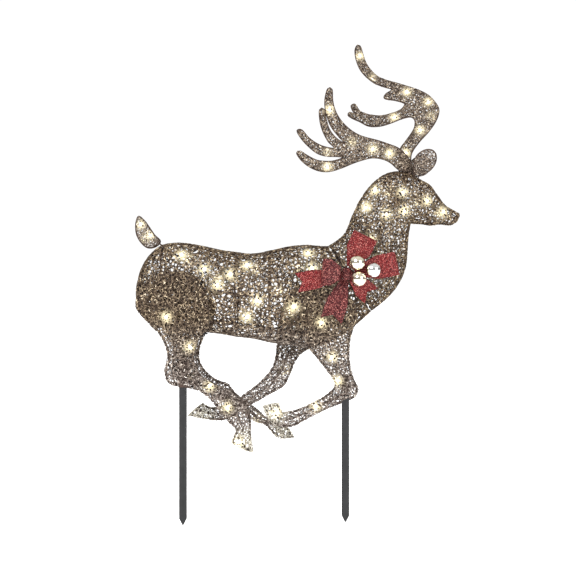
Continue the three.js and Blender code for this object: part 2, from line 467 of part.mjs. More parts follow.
const conn = (c, dir, size) => { // small two-pole connector block, its length along dir
  const q = new THREE.Quaternion().setFromUnitVectors(V(0, 0, 1), dir);
  const M = new THREE.Matrix4().makeRotationFromQuaternion(q).setPosition(c);
  return block(size).transform(M.elements.slice());
};
const INLET = V(-150, 22, 303);
function bodyString() {
  const nearL = NEAR_TORSO.map((p) => torsoLamp(NEAR, ...p)), farL = FAR_TORSO.map((p) => torsoLamp(FAR, ...p));
  const out = [...nearL, ...farL].map((l) => l.lamp);
  out.push(rod(nearL.map((l) => l.base), LEAD, false, 4), rod(farL.map((l) => l.base), LEAD, false, 4));
  const near0 = nearL[2].base, far0 = farL[1].base;
  out.push(rod([near0, V(-140, 0, 400), far0], LEAD, false, 4)); // across, inside the torso
  out.push(rod([V(-140, 0, 400), V(-150, 12, 350), INLET.clone().setZ(INLET.z + 26)], LEAD, false, 4));
  const plug = seat(0.5, -13, 14);
  out.push(rod([farL[4].base, V(120, 20, 440), plug], LEAD, false, 4), conn(seat(0.5, -9, 14), PULL, [10, 9, 14]));
  // branches into the four legs
  const branch = (name, hub) => {
    const s = legSpots[name];
    const inside = s.start.clone().setY(Math.sign(s.start.y) * 48);
    out.push(s.solid, rod([s.start, inside, hub], LEAD, false, 4));
  };
  branch("hind_near", near0); branch("hind_far", far0);
  branch("front_near", nearL[7].base); branch("front_far", farL[5].base);
  // tail connector
  out.push(rod([farL[0].base, V(-225, 14, 490)], LEAD, false, 4), conn(V(-228, 12, 489), TAIL_PULL, [8, 8, 12]));
  return join(out);
}
const HEAD_NEAR = [[240, 600], [262, 640], [288, 583], [326, 634], [331, 590], [385, 615], [425, 590], [250, 520], [265, 470]];
const HEAD_FAR = [[245, 605], [300, 640], [370, 620], [420, 588], [255, 530]];
function headLamp(side, x, z) {
  const y = depthAt(headG, side, x, z), deep = Math.min(14, y - 4);
  return { base: V(x, side * (y - deep), z), lamp: lampAt(V(x, side * (y - deep - 1), z), V(0, side, 0), deep + 1 - 3.2) };
}
function headString() {
  const n = HEAD_NEAR.map((p) => headLamp(NEAR, ...p)), f = HEAD_FAR.map((p) => headLamp(FAR, ...p));
  const order = (l, ids) => ids.map((i) => l[i].base);
  const out = [...n, ...f].map((l) => l.lamp);
  out.push(rod(order(n, [8, 7, 0, 1, 2, 4, 3, 5, 6]), LEAD, false, 4), rod(order(f, [4, 0, 1, 2, 3]), LEAD, false, 4));
  out.push(rod([n[3].base, f[1].base], LEAD, false, 4));
  out.push(rod([f[4].base, seat(0.5, 26, 16), seat(0.5, 10, 14)], LEAD, false, 4), conn(seat(0.5, 6.2, 14), PULL, [10, 9, 14]));
  for (const [a, u, hub] of [[antlerN, 346, n[3].base], [antlerF, 358, f[1].base]]) {
    const low = a.put(u, -13);
    out.push(rod([hub, a.put(u, -24), low], LEAD, false, 4), conn(low, a.put(u, 1).sub(a.put(u, 0)), [7, 7, 12]));
  }
  return join(out);
}

// ---- build the nodes ----
const grown = GAP + 0.2;
const torsoF = torsoFrame(WIRE), torsoFG = torsoFrame(WIRE + grown);
const headF = headFrame(WIRE), headFG = headFrame(WIRE + grown);
const legF = {}, legFG = {};
for (const k in legs) { legF[k] = legs[k].frame(WIRE); legFG[k] = legs[k].frame(WIRE + grown); }
const antNF = antlerN.frame(1.6), antFF = antlerF.frame(1.6), tailF = tail.frame(WIRE);
const earF = ears.map((e) => e.frame(1.6));

// bolts and wing nuts that hold the legs to the torso
function boltSolid([, side, at, y], grow = 0) {
  const inner = eyeDepth(at, side), top = y + 0.6 + 2.2;
  const a = bar(V(at[0], side * (inner - 9), at[1]), V(at[0], side * top, at[1]), 2.6 + grow, 6);
  const b = bar(V(at[0], side * (top - 0.01), at[1]), V(at[0], side * (top + 3), at[1]), 5.6 + grow, 6);
  return join(a, b);
}
function nutSolid([, side, at]) {
  const inner = eyeDepth(at, side) - 1.8;
  const hub = bar(V(at[0], side * (inner - 6), at[1]), V(at[0], side * inner, at[1]), 5.2, 8);
  const wing = block([26, 3, 6]).translate([at[0], side * (inner - 5.2), at[1]]);
  const hole = bar(V(at[0], side * (inner - 12), at[1]), V(at[0], side * (inner + 2), at[1]), 2.6 + GAP + 0.3, 6);
  return join(hub, wing).subtract(hole);
}
const bolts = BOLTS.map((b) => boltSolid(b)), boltsG = BOLTS.map((b) => boltSolid(b, 0.6));
const nuts = BOLTS.map((b) => nutSolid(b));

// stakes and their sleeves; the end that goes into the leg is dressed a little thinner, from height `step` up
function stake(at, top, step) {
  const w = STAKE_W / 2;
  const blade = [[-w, TIP_Z + 15], [-1.2, TIP_Z], [1.2, TIP_Z], [w, TIP_Z + 15], [w, step], [-w, step]];
  const end = [[-w, step - 1], [w, step - 1], [w, top], [-w, top]];
  return join(plate(blade, STAKE_T), plate(end, STAKE_T - 0.6)).rotate([90, 0, 0]).translate([at[0], at[1], 0]);
}
const stakeHole = (at, z0, z1) => block([STAKE_W + 2 * GAP, STAKE_T + 2 * GAP, z1 - z0]).translate([at[0], at[1], (z0 + z1) / 2]);
const sleeveR = sleeveBox(REAR_STAKE, ...SLEEVES.rear).subtract(stakeHole(REAR_STAKE, 100, 300)).subtract(legFG.hind_near);
const sleeveF = sleeveBox(FRONT_STAKE, ...SLEEVES.front).subtract(stakeHole(FRONT_STAKE, 100, 300)).subtract(legFG.front_near);
const bodyStr = bodyString().subtract(join(torsoFG, ...Object.values(legFG), ...Object.values(legF), ...boltsG))
  .subtract(join(sleeveBox(REAR_STAKE, ...SLEEVES.rear, GAP), sleeveBox(FRONT_STAKE, ...SLEEVES.front, GAP)));
const headShell = loft(headG).subtract(loft(inward(headG, SKIN + GAP, true, false)));
const headStr = headString().subtract(headFG);
// the lead's passage through a cover: a tube a little wider than the lead
const passage = (a, b, r = 2.4) => bar(a, b, r, 6);
const legEntry = Object.entries(legSpots).map(([k, s]) => passage(s.start, s.start.clone().setY(Math.sign(s.start.y) * 44)));

// power inlet in the belly
const inletBody = join(drum(34, 8, 14).translate([0, 0, 17]), drum(3, 11, 14).translate([0, 0, 1.5]))
  .subtract(drum(14, 5.6, 12).translate([0, 0, 6]))
  .add(block([1.6, 5, 13]).translate([-2.6, 0, 8])).add(block([1.6, 5, 13]).translate([2.6, 0, 8]));
const inletZ = 296;
const inlet = inletBody.translate([INLET.x, INLET.y, inletZ]);

const tailHole = passage(tailRoot.clone().addScaledVector(TAIL_PULL, -2), tailRoot.clone().addScaledVector(TAIL_PULL, -46), 3.2);
const torsoSkin = loft(torsoG).subtract(loft(inward(torsoG, SKIN, false, true)))
  .subtract(join(...boltsG, ...legEntry, tailHole, drum(40, 8.6, 12).translate([INLET.x, INLET.y, inletZ])))
  .subtract(join(passage(V(-222, 12, 489), V(-256, 12, 503), 5.4)));
add("torso_frame", torsoF.subtract(tailSocket(GAP)).subtract(join(...NECK_SOCKETS(GAP), ...[0.22, 0.78].map((t) => bar(seat(t, 2), seat(t, -40), WIRE + GAP, 8)), bar(tailRoot, tailRoot.clone().addScaledVector(TAIL_PULL, -60), WIRE + GAP + 0.1, 8))));
add("torso_cover", torsoSkin);
const sockHole = (t) => bar(seat(t, 2), seat(t, -40), WIRE + GAP, 8);
add("neck_socket_upper", NECK_SOCKETS(0)[0].subtract(sockHole(0.22)));
add("neck_socket_lower", NECK_SOCKETS(0)[1].subtract(sockHole(0.78)));
add("tail_socket", tailSocket(0).subtract(bar(tailRoot, tailRoot.clone().addScaledVector(TAIL_PULL, -60), WIRE + GAP, 8)));
for (const k in legs) {
  add("leg_frame_" + k, k === "front_near" ? legF[k].subtract(stakeHole(FRONT_STAKE, 60, 206)) : k === "hind_near" ? legF[k].subtract(stakeHole(REAR_STAKE, 60, 240)) : legF[k]);
  let skin = legs[k].skin;
  if (k === "hind_near") skin = skin.subtract(stakeHole(REAR_STAKE, 60, 230)).subtract(sleeveBox(REAR_STAKE, ...SLEEVES.rear, GAP));
  if (k === "front_near") skin = skin.subtract(stakeHole(FRONT_STAKE, 60, 190)).subtract(sleeveBox(FRONT_STAKE, ...SLEEVES.front, GAP));
  skin = skin.subtract(loft(inward(torsoG, -0.6))).subtract(join(legEntry));
  add("leg_cover_" + k, skin);
}
BOLTS.forEach((b, i) => { add("leg_bolt_" + b[0], bolts[i]); add("wing_nut_" + b[0], nuts[i]); });
add("stake_sleeve_rear", sleeveR);
add("stake_sleeve_front", sleeveF);
add("stake_rear", stake(REAR_STAKE, SLEEVES.rear[1] - 6, 160));
add("stake_front", stake(FRONT_STAKE, SLEEVES.front[1] - 4, 124));
add("power_inlet", inlet);
add("light_string_body", plain(bodyStr.subtract(join(tailSocket(GAP), ...NECK_SOCKETS(GAP)))
  .subtract(loft(torsoG).subtract(loft(inward(torsoG, SKIN + GAP, false, true))).subtract(join(legEntry)))
  .subtract(join(...Object.values(legs).map((l) => l.wall)).subtract(join(legEntry)))
  .subtract(join(stakeHole(REAR_STAKE, 60, 240), stakeHole(FRONT_STAKE, 60, 206), inletBody.translate([INLET.x, INLET.y, inletZ]))), 0.15).subtract(join(...Object.values(legF))));

const antSocks = [[antlerN, 331], [antlerF, 340]];
const plugHoles = join(...[[antlerN, 346], [antlerF, 358]].map(([a, u]) => conn(a.put(u, -9), a.put(u, 1).sub(a.put(u, 0)), [8.4, 8.4, 30])));
const headSkin = loft(headG).subtract(loft(inward(headG, SKIN, true, false)))
  .subtract(join(...antSocks.map(([a, u]) => bar(a.put(u, 20), a.put(u, -36), 4.8, 10)), ...ears.map((e) => bar(e.put(366, 6), e.put(366, -18), 2.2, 8)), plugHoles));
add("neck_head_frame", headF.subtract(join(...antSocks.map(([a, u]) => antlerSocket(a, u, GAP)), ...antSocks.map(([a, u]) => bar(a.put(u, 10), a.put(u, -40), WIRE + GAP, 8)))));
add("neck_head_cover", headSkin);
antSocks.forEach(([a, u], i) => add(["antler_socket_near", "antler_socket_far"][i], antlerSocket(a, u, 0).subtract(bar(a.put(u, 10), a.put(u, -40), WIRE + GAP, 8))));
add("light_string_neck_head", headStr.subtract(headShell.subtract(plugHoles)).subtract(join(...antSocks.map(([a, u]) => antlerSocket(a, u, GAP)), ...ears.map((e) => bar(e.put(366, 6), e.put(366, -18), 2, 8)))));
ears.forEach((e, i) => {
  const n = ["near", "far"][i];
  add("ear_frame_" + n, earF[i].subtract(headFG));
  add("ear_cover_" + n, e.skin.subtract(bar(e.put(366, 8), e.put(366, -20), 2.2, 8)));
});
[["near", antlerN, antNF, NEAR, 331, 346], ["far", antlerF, antFF, FAR, 340, 358]].forEach(([n, a, F, side, u, pu]) => {
  const spots = n === "near"
    ? [[296, 729], [256, 739], [150, 731], [149, 698], [152, 826], [207, 753]]
    : [[338, 730], [372, 785], [398, 822], [391, 852], [340, 876], [258, 913], [228, 962], [310, 815]].map(leanBack);
  const runs = n === "near"
    ? [[[336, 696], [322, 712], [296, 729], [256, 739], [227, 742], [207, 753], [188, 771], [170, 793], [158, 812], [152, 826]],
      [[227, 742], [213, 727], [198, 715], [179, 704], [149, 698]],
      [[227, 742], [200, 732], [172, 730], [150, 731]]]
    : [[[346, 696], [337, 728], [352, 757], [372, 785], [390, 806], [398, 822], [391, 852], [340, 876], [290, 898], [258, 913], [241, 930], [228, 962]],
      [[398, 822], [374, 826], [340, 828], [310, 815]]].map((run) => run.map(leanBack));
  const across = a.put(0, 0, 1).sub(a.put(0, 0, 0));
  const plug = conn(a.put(pu - 12, 2.2), a.put(0, 1).sub(a.put(0, 0)), [7, 7, 12]);
  const leads = runs.map((l) => rod(l.map(([x, z]) => a.put(x, a.v(z))), LEAD, false, 4));
  const lamps = spots.map(([x, z]) => lampAt(a.put(x, a.v(z)).addScaledVector(across, -4.6), across, 9.2, 2.8));
  const string = join(...leads, ...lamps, plug).subtract(a.frame(1.6 + grown)).intersect(a.slab(0.1, 5)).add(plug.subtract(a.frame(1.6 + grown)));
  add("antler_frame_" + n, F);
  add("antler_cover_" + n, a.skin.subtract(join(bar(a.put(u, 12), a.put(u, -20), 3, 8), conn(a.put(pu - 12, 0), a.put(0, 1).sub(a.put(0, 0)), [8, 8, 22]))));
  add("light_string_antler_" + n, string);
});
add("tail_frame", tailF);
add("tail_cover", tail.skin.subtract(bar(tailRoot.clone().addScaledVector(TAIL_PULL, 6), tailRoot.clone().addScaledVector(TAIL_PULL, -20), 3.2, 10)).subtract(conn(V(-252, 12, 501), TAIL_PULL, [9, 9, 30])));
{
  const pts = [V(-268, 5, 524), V(-275, 5, 534), V(-290, 5, 550), V(-297, 5, 560)];
  const s = join(rod(pts, LEAD, false, 4), lampAt(V(-275, 5.4, 534), V(0, -1, 0), 12, 2.8), lampAt(V(-297, 5.4, 560), V(0, -1, 0), 12, 2.8), lampAt(V(-289, 4, 527), V(0, 1, 0), 3, 2.6), rod([V(-268, 5, 524), V(-289, 5, 527)], LEAD, false, 4));
  add("light_string_tail", s.subtract(tail.frame(WIRE + grown)));
}

// ---- bow: wired ribbon loops and tails round a knot, three shiny balls on top ----
const KNOT = V(192, -76, 441);
function ribbon({ angle, start = 15, rise = 0, length, lift, height, width, kind, twist = 0, flare = 0.35 }) {
  const d = V(Math.cos(angle), 0, Math.sin(angle)), p = V(-Math.sin(angle), 0, Math.cos(angle)), w = V(0, -1, 0);
  const N = kind === "loop" ? 15 : 9, verts = [], tris = [], path = [];
  for (let i = 0; i <= N; i++) {
    const t = i / N;
    if (kind === "loop") {
      const f = 0.35 + (2 * Math.PI - 0.7) * t;
      path.push([start + (length * (1 - Math.cos(f))) / 2, lift + 0.65 * height * Math.sin(f) * (1 - Math.cos(f)) + (t - 0.5) * -2.4, f]);
    } else path.push([start + length * t, lift + rise * t + height * Math.sin(t * 5.2) * 0.5, 0]);
  }
  path.forEach(([u, h], i) => {
    const a = path[Math.max(i - 1, 0)], b = path[Math.min(i + 1, N)];
    const tu = b[0] - a[0], th = b[1] - a[1], l = Math.hypot(tu, th);
    const nu = -th / l, nh = tu / l;
    const open = Math.min(1, flare + (1 - flare) * ((u - start) / (length * 0.55)));
    for (const [sv, sn] of [[-1, -1], [1, -1], [1, 1], [-1, 1]]) {
      const v = (sv * width * open) / 2, k = 0.45 * sn;
      verts.push(KNOT.clone().addScaledVector(d, u + nu * k).addScaledVector(w, h + nh * k + twist * v * (u / length)).addScaledVector(p, v));
    }
  });
  for (let i = 0; i < N; i++)
    for (let k = 0; k < 4; k++) {
      const a = i * 4 + k, b = i * 4 + ((k + 1) % 4), c = a + 4, e = b + 4;
      tris.push([a, b, e], [a, e, c]);
    }
  tris.push([0, 2, 1], [0, 3, 2], [4 * N, 4 * N + 1, 4 * N + 2], [4 * N, 4 * N + 2, 4 * N + 3]);
  let m = solid(verts, tris);
  if (kind === "tail") { // swallow-tail notch at the free end
    const e = KNOT.clone().addScaledVector(d, start + length), q = KNOT.clone().addScaledVector(d, start + length - width * 0.3);
    const cs = [e.clone().addScaledVector(p, width * 0.36).addScaledVector(d, 4), e.clone().addScaledVector(p, -width * 0.36).addScaledVector(d, 4), q];
    const pr = [];
    for (const y of [20, -160]) for (const c of cs) pr.push(c.clone().setY(y));
    m = m.subtract(solid(pr, [[0, 1, 2], [3, 5, 4], [0, 3, 4], [0, 4, 1], [1, 4, 5], [1, 5, 2], [2, 5, 3], [2, 3, 0]]));
  }
  return m;
}
const BALLS = [["upper_left", V(215, -107, 466), 18], ["right", V(252, -106, 450), 17.5], ["lower_left", V(218, -108, 429), 17.5]];
const ballAt = (c, r, s = 16) => orb(r, s).translate([c.x, c.y, c.z]);
const ballsG = join(...BALLS.map(([, c, r]) => ballAt(c, r + 0.4)));
const knot = orb(1, 14).scale([15, 11, 15]).translate([KNOT.x, KNOT.y - 4, KNOT.z]);
const knotG = orb(1, 14).scale([15.5, 11.5, 15.5]).translate([KNOT.x, KNOT.y - 4, KNOT.z]);
const rad = (deg) => (deg * Math.PI) / 180;
const bow = [
  ["bow_loop_upper", { angle: rad(64), length: 84, lift: 8, height: 15, width: 58, kind: "loop", flare: 0.25 }],
  ["bow_loop_right", { angle: rad(12), length: 104, lift: 10, height: 15, width: 54, kind: "loop", flare: 0.25 }],
  ["bow_loop_left", { angle: rad(176), length: 44, lift: 29, height: 12, width: 60, kind: "loop", flare: 0.45 }],
  ["bow_tail_left", { angle: rad(190), length: 104, lift: 13, rise: 2, height: 4, width: 44, kind: "tail" }],
  ["bow_tail_lower", { angle: rad(251), length: 100, lift: 2, rise: 20, height: 6, width: 50, kind: "tail" }],
  ["bow_tail_right", { angle: rad(318), length: 62, lift: 3, rise: 6, height: 6, width: 46, kind: "tail" }],
];
let taken = join(knotG, ballsG);
for (const [name, o] of bow) {
  const m = add(name, ribbon(o).subtract(taken));
  taken = join(taken, m.translate([0, 0.6, 0]), m, m.translate([0, -0.6, 0]));
}
add("bow_knot", knot.subtract(ballsG));
for (const [n, c, r] of BALLS) add("bow_ball_" + n, ballAt(c, r, 16));
export default root;
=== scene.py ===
"""Light-up yard reindeer: round wire frames, random-thread net covers, lamp strings, ribbon bow, stakes.

Tables are in millimetres, in the frame of the record (+X to the nose, +Z up, the bow on the -Y side),
and repeat the ones of part.mjs.
"""
import math

import bpy
import numpy as np
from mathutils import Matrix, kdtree


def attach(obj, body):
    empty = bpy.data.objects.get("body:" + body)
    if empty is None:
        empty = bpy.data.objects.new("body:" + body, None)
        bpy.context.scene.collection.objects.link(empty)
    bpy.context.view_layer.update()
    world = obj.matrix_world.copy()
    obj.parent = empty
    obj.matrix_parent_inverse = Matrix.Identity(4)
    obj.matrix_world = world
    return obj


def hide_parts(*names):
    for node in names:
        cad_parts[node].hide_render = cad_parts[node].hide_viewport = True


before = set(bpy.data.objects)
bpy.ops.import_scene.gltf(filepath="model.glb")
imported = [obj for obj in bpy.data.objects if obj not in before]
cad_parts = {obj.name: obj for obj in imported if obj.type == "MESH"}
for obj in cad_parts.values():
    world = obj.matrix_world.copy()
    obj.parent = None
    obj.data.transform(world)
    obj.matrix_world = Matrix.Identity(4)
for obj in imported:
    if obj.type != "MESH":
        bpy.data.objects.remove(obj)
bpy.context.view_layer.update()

MM = 0.001
NEAR, FAR = -1, 1
WIRE = 2.0
FLAT_WIRE = 1.6
LEAD = 0.95
GROUND = -0.1456  # the floor, in metres, just under the stakes' tips
# where the camera stands, which is also the eye of the far antler's table
VIEW_X, VIEW_Z, VIEW_AWAY = 55.2, 408.0, 2500.0
HALF_VIEW = 0.6912  # half the width, in metres, that the camera sees at the middle of the body
rng = np.random.default_rng(11)


def P(*xyz):
    return np.array(xyz, float)


def unit(v):
    return v / np.maximum(np.linalg.norm(v, axis=-1, keepdims=True), 1e-9)


# ------------------------------------------------------------------ camera, light, stage
def set_stage():
    scene = bpy.context.scene
    cam = bpy.data.objects.new("camera", bpy.data.cameras.new("camera"))
    scene.collection.objects.link(cam)
    cam.location = (VIEW_X * MM, -VIEW_AWAY * MM, VIEW_Z * MM)
    cam.rotation_euler = (math.pi / 2, 0, 0)
    cam.data.sensor_width = 36
    cam.data.lens = cam.data.sensor_width / 2 * VIEW_AWAY * MM / HALF_VIEW
    scene.camera = cam
    for name, at, aim, size, watts in (
        ("key", (-1.6, -2.6, 2.4), (0.05, 0, 0.4), 1.6, 95),
        ("fill", (2.2, -2.4, 1.2), (0.05, 0, 0.4), 1.6, 40),
        ("back", (0.6, 2.6, 2.2), (0.05, 0, 0.4), 2.0, 60),
    ):
        data = bpy.data.lights.new(name, "AREA")
        data.size, data.energy = size, watts
        o = bpy.data.objects.new(name, data)
        o.location = at
        d = unit(np.array(aim) - np.array(at))
        o.rotation_euler = (math.acos(-d[2]), 0, math.atan2(d[1], d[0]) - math.pi / 2)
        scene.collection.objects.link(o)
    world = bpy.data.worlds.new("studio")
    scene.world = world
    world.use_nodes = True
    # the studio: white to look at, and a softer light from it, so that shiny pieces show contrast
    t = world.node_tree
    seen, shade = t.nodes["Background"], t.nodes.new("ShaderNodeBackground")
    shade.inputs[1].default_value = 0.85
    way, up = t.nodes.new("ShaderNodeTexCoord"), t.nodes.new("ShaderNodeSeparateXYZ")
    height = node(t, "ShaderNodeMapRange", in_From_Min=-1.0, in_From_Max=1.0)
    t.links.new(way.outputs["Generated"], up.inputs[0])
    t.links.new(up.outputs[2], height.inputs["Value"])
    sky = ramp(t, [(0.0, (0.5, 0.5, 0.5)), (0.47, (0.16, 0.16, 0.16)), (0.60, (0.20, 0.20, 0.20)),
                   (0.72, (0.9, 0.9, 0.9)), (1.0, (1, 1, 1))], height.outputs[0])
    t.links.new(sky, shade.inputs[0])
    path, mix = t.nodes.new("ShaderNodeLightPath"), t.nodes.new("ShaderNodeMixShader")
    seen.inputs[0].default_value = (1, 1, 1, 1)
    seen.inputs[1].default_value = 1.05
    t.links.new(path.outputs["Is Camera Ray"], mix.inputs[0])
    t.links.new(shade.outputs[0], mix.inputs[1])
    t.links.new(seen.outputs[0], mix.inputs[2])
    t.links.new(mix.outputs[0], t.nodes["World Output"].inputs[0])
    scene.view_settings.view_transform = "Standard"
    sides, reach = 64, 60.0
    turns = [2 * math.pi * i / sides for i in range(sides)]
    me = bpy.data.meshes.new("floor")
    me.from_pydata([(reach * math.cos(a), reach * math.sin(a), 0) for a in turns], [], [list(range(sides))])
    floor = bpy.data.objects.new("floor", me)
    floor.location.z = GROUND
    scene.collection.objects.link(floor)
    white = paint("floor_white", (0.97, 0.97, 0.97), 0.9, grain=40, bump=0.0, spread=0.01)
    lift = white.node_tree.nodes["Principled BSDF"]
    lift.inputs["Emission Color"].default_value = (1, 1, 1, 1)
    lift.inputs["Emission Strength"].default_value = 0.62
    me.materials.append(white)


# ------------------------------------------------------------------ materials
def new_material(name):
    m = bpy.data.materials.new(name)
    m.use_nodes = True
    t = m.node_tree
    return m, t, t.nodes["Principled BSDF"]


def node(t, kind, **values):
    n = t.nodes.new(kind)
    for k, v in values.items():
        if k.startswith("in_"):
            n.inputs[k[3:].replace("_", " ")].default_value = v
        else:
            setattr(n, k, v)
    return n


def ramp(t, stops, source):
    r = t.nodes.new("ShaderNodeValToRGB")
    e = r.color_ramp.elements
    while len(e) < len(stops):
        e.new(0.5)
    for el, (pos, col) in zip(e, stops):
        el.position, el.color = pos, (*col, 1)
    t.links.new(source, r.inputs[0])
    return r.outputs[0]


def noise(t, scale, detail=3.0, coords="Object"):
    c = t.nodes.new("ShaderNodeTexCoord")
    n = node(t, "ShaderNodeTexNoise", in_Scale=scale, in_Detail=detail)
    t.links.new(c.outputs[coords], n.inputs["Vector"])
    return n.outputs["Fac"]


def add_bump(t, b, source, strength, distance=0.0005):
    k = node(t, "ShaderNodeBump", in_Strength=strength, in_Distance=distance)
    t.links.new(source, k.inputs["Height"])
    t.links.new(k.outputs[0], b.inputs["Normal"])


def paint(name, color, rough, metal=0.0, grain=300.0, bump=0.15, spread=0.25, coat=0.0):
    """Paint, plastic or plated metal: colour and gloss wander a little, with a fine grain."""
    m, t, b = new_material(name)
    f = noise(t, grain)
    slow = noise(t, grain / 12)
    lo = tuple(c * (1 - spread) for c in color)
    hi = tuple(min(1, c * (1 + spread)) for c in color)
    t.links.new(ramp(t, [(0.3, lo), (0.7, hi)], slow), b.inputs["Base Color"])
    r = node(t, "ShaderNodeMapRange", in_To_Min=rough * 0.8, in_To_Max=min(1, rough * 1.25))
    t.links.new(f, r.inputs["Value"])
    t.links.new(r.outputs[0], b.inputs["Roughness"])
    b.inputs["Metallic"].default_value = metal
    b.inputs["Coat Weight"].default_value = coat
    add_bump(t, b, f, bump, 0.0003)
    return m


def net_material(name):
    """Glitter thread: brown to gold, or dark to silver where `pale` is high, with warm lamp light painted on
    as emission near a lamp.
    """
    m, t, b = new_material(name)
    tint, pale, painted_glow = (node(t, "ShaderNodeAttribute", attribute_name=k).outputs["Fac"]
                        for k in ("tint", "pale", "painted_glow"))
    brown = ramp(t, [(0.0, (0.010, 0.005, 0.003)), (0.40, (0.048, 0.028, 0.014)),
                     (0.70, (0.155, 0.105, 0.055)), (0.87, (0.42, 0.31, 0.17)), (1.0, (0.95, 0.80, 0.55))],
                     tint)
    silver = ramp(t, [(0.0, (0.022, 0.016, 0.013)), (0.35, (0.095, 0.072, 0.060)),
                      (0.68, (0.26, 0.215, 0.19)), (0.88, (0.52, 0.47, 0.43)), (1.0, (0.95, 0.92, 0.88))],
                      tint)
    cream = ramp(t, [(0.0, (0.07, 0.055, 0.04)), (0.35, (0.30, 0.27, 0.21)), (0.75, (0.72, 0.68, 0.58)),
                     (1.0, (0.96, 0.93, 0.86))], tint)

    def mix(a, b2, lo, hi):
        r = node(t, "ShaderNodeMapRange", in_From_Min=lo, in_From_Max=hi)
        t.links.new(pale, r.inputs["Value"])
        x = t.nodes.new("ShaderNodeMix")
        x.data_type = "RGBA"
        t.links.new(r.outputs[0], x.inputs["Factor"])
        t.links.new(a, x.inputs[6])
        t.links.new(b2, x.inputs[7])
        return x.outputs[2]

    t.links.new(mix(mix(brown, silver, 0.0, 0.6), cream, 0.6, 1.0), b.inputs["Base Color"])
    fine = noise(t, 1400, 2)
    r = node(t, "ShaderNodeMapRange", in_To_Min=0.28, in_To_Max=0.62)
    t.links.new(fine, r.inputs["Value"])
    t.links.new(r.outputs[0], b.inputs["Roughness"])
    b.inputs["Metallic"].default_value = 0.1
    b.inputs["Specular IOR Level"].default_value = 0.15
    # painted lamp light: the threads near a lamp glow warm as emission, as strongly as the painted_glow
    # attribute says
    b.inputs["Emission Color"].default_value = (1.0, 0.88, 0.56, 1)
    g = node(t, "ShaderNodeMath", operation="MULTIPLY")
    g.inputs[1].default_value = 1.9
    t.links.new(painted_glow, g.inputs[0])
    t.links.new(g.outputs[0], b.inputs["Emission Strength"])
    add_bump(t, b, fine, 0.4, 0.0004)
    return m


def ribbon_material(name, shaded):
    """Red ribbon covered in glitter: small cells that each have their own tone and tilt; with `shaded` set, a
    darker copy that is painted shade.
    """
    m, t, b = new_material(name)
    c = t.nodes.new("ShaderNodeTexCoord")
    v = node(t, "ShaderNodeTexVoronoi", in_Scale=900.0)
    t.links.new(c.outputs["Object"], v.inputs["Vector"])
    s = t.nodes.new("ShaderNodeSeparateColor")
    t.links.new(v.outputs["Color"], s.inputs[0])
    # painted shade: the shaded copy of the ribbon halves the red
    k = 0.5 if shaded else 1.0
    cells = ramp(t, [(0.0, (0.020 * k, 0.001, 0.001)), (0.5, (0.105 * k, 0.004, 0.006)),
                     (0.84, (0.26 * k, 0.020, 0.022)), (1.0, (0.72, 0.26, 0.22))], s.outputs[0])
    t.links.new(cells, b.inputs["Base Color"])
    r = node(t, "ShaderNodeMapRange", in_To_Min=0.22, in_To_Max=0.6)
    t.links.new(s.outputs[1], r.inputs["Value"])
    t.links.new(r.outputs[0], b.inputs["Roughness"])
    b.inputs["Specular IOR Level"].default_value = 0.2
    add_bump(t, b, s.outputs[2], 0.5, 0.0006)
    return m


def lens_material():
    m, t, b = new_material("lamp_lens")
    f = noise(t, 700, 2)
    t.links.new(ramp(t, [(0.3, (1.0, 0.80, 0.46)), (0.7, (1.0, 0.90, 0.66))], f), b.inputs["Base Color"])
    t.links.new(ramp(t, [(0.3, (1.0, 0.88, 0.58)), (0.7, (1.0, 0.94, 0.74))], f), b.inputs["Emission Color"])
    b.inputs["Emission Strength"].default_value = 9.0
    b.inputs["Roughness"].default_value = 0.15
    return m


def ball_material(name, color):
    m, t, b = new_material(name)
    f = noise(t, 60, 4)
    lo = tuple(c * 0.9 for c in color)
    t.links.new(ramp(t, [(0.35, lo), (0.65, color)], f), b.inputs["Base Color"])
    r = node(t, "ShaderNodeMapRange", in_To_Min=0.07, in_To_Max=0.17)
    t.links.new(f, r.inputs["Value"])
    t.links.new(r.outputs[0], b.inputs["Roughness"])
    b.inputs["Metallic"].default_value = 1.0
    add_bump(t, b, f, 0.05, 0.0005)
    return m


ENAMEL = paint("wire_enamel", (0.055, 0.032, 0.022), 0.4, 0.3, 500, 0.3)
STAKE = paint("stake_coat", (0.012, 0.0125, 0.0135), 0.7, 0.0, 900, 0.3)
ZINC = paint("zinc_plate", (0.62, 0.62, 0.60), 0.32, 1.0, 400, 0.15)
PLASTIC = paint("inlet_plastic", (0.02, 0.02, 0.02), 0.5, 0.0, 700, 0.2)
LEAD_MAT = paint("lead_plastic", (0.085, 0.05, 0.033), 0.45, 0.0, 400, 0.15)
NET = net_material("glitter_net")
# the darker red copy is painted shade, used on the knot wrap, the left loop and the lower tail of the bow
RED, SHADED_RED = ribbon_material("ribbon_red", False), ribbon_material("ribbon_red_painted_shade", True)
LENS = lens_material()


# ------------------------------------------------------------------ mesh helpers
def piece(name, verts, faces, material, body, slot, replaces=(), smooth=True, attributes=None):
    me = bpy.data.meshes.new(name)
    me.from_pydata((np.asarray(verts) * MM).tolist(), [], [list(map(int, f)) for f in faces])
    for key, values in (attributes or {}).items():
        me.attributes.new(key, "FLOAT", "POINT").data.foreach_set("value", np.asarray(values, np.float32))
    me.materials.append(material)
    if smooth:
        me.polygons.foreach_set("use_smooth", [True] * len(me.polygons))
    me.update()
    o = bpy.data.objects.new(name, me)
    bpy.context.scene.collection.objects.link(o)
    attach(o, body)
    if replaces:
        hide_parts(*replaces)
    return o


class Build:
    """Gathers vertices and faces of one piece."""

    def __init__(self):
        self.v, self.f, self.n = [], [], 0

    def add(self, verts, faces):
        self.v.append(np.asarray(verts, float))
        self.f += [[i + self.n for i in f] for f in faces]
        self.n += len(verts)

    def done(self):
        return np.concatenate(self.v), self.f


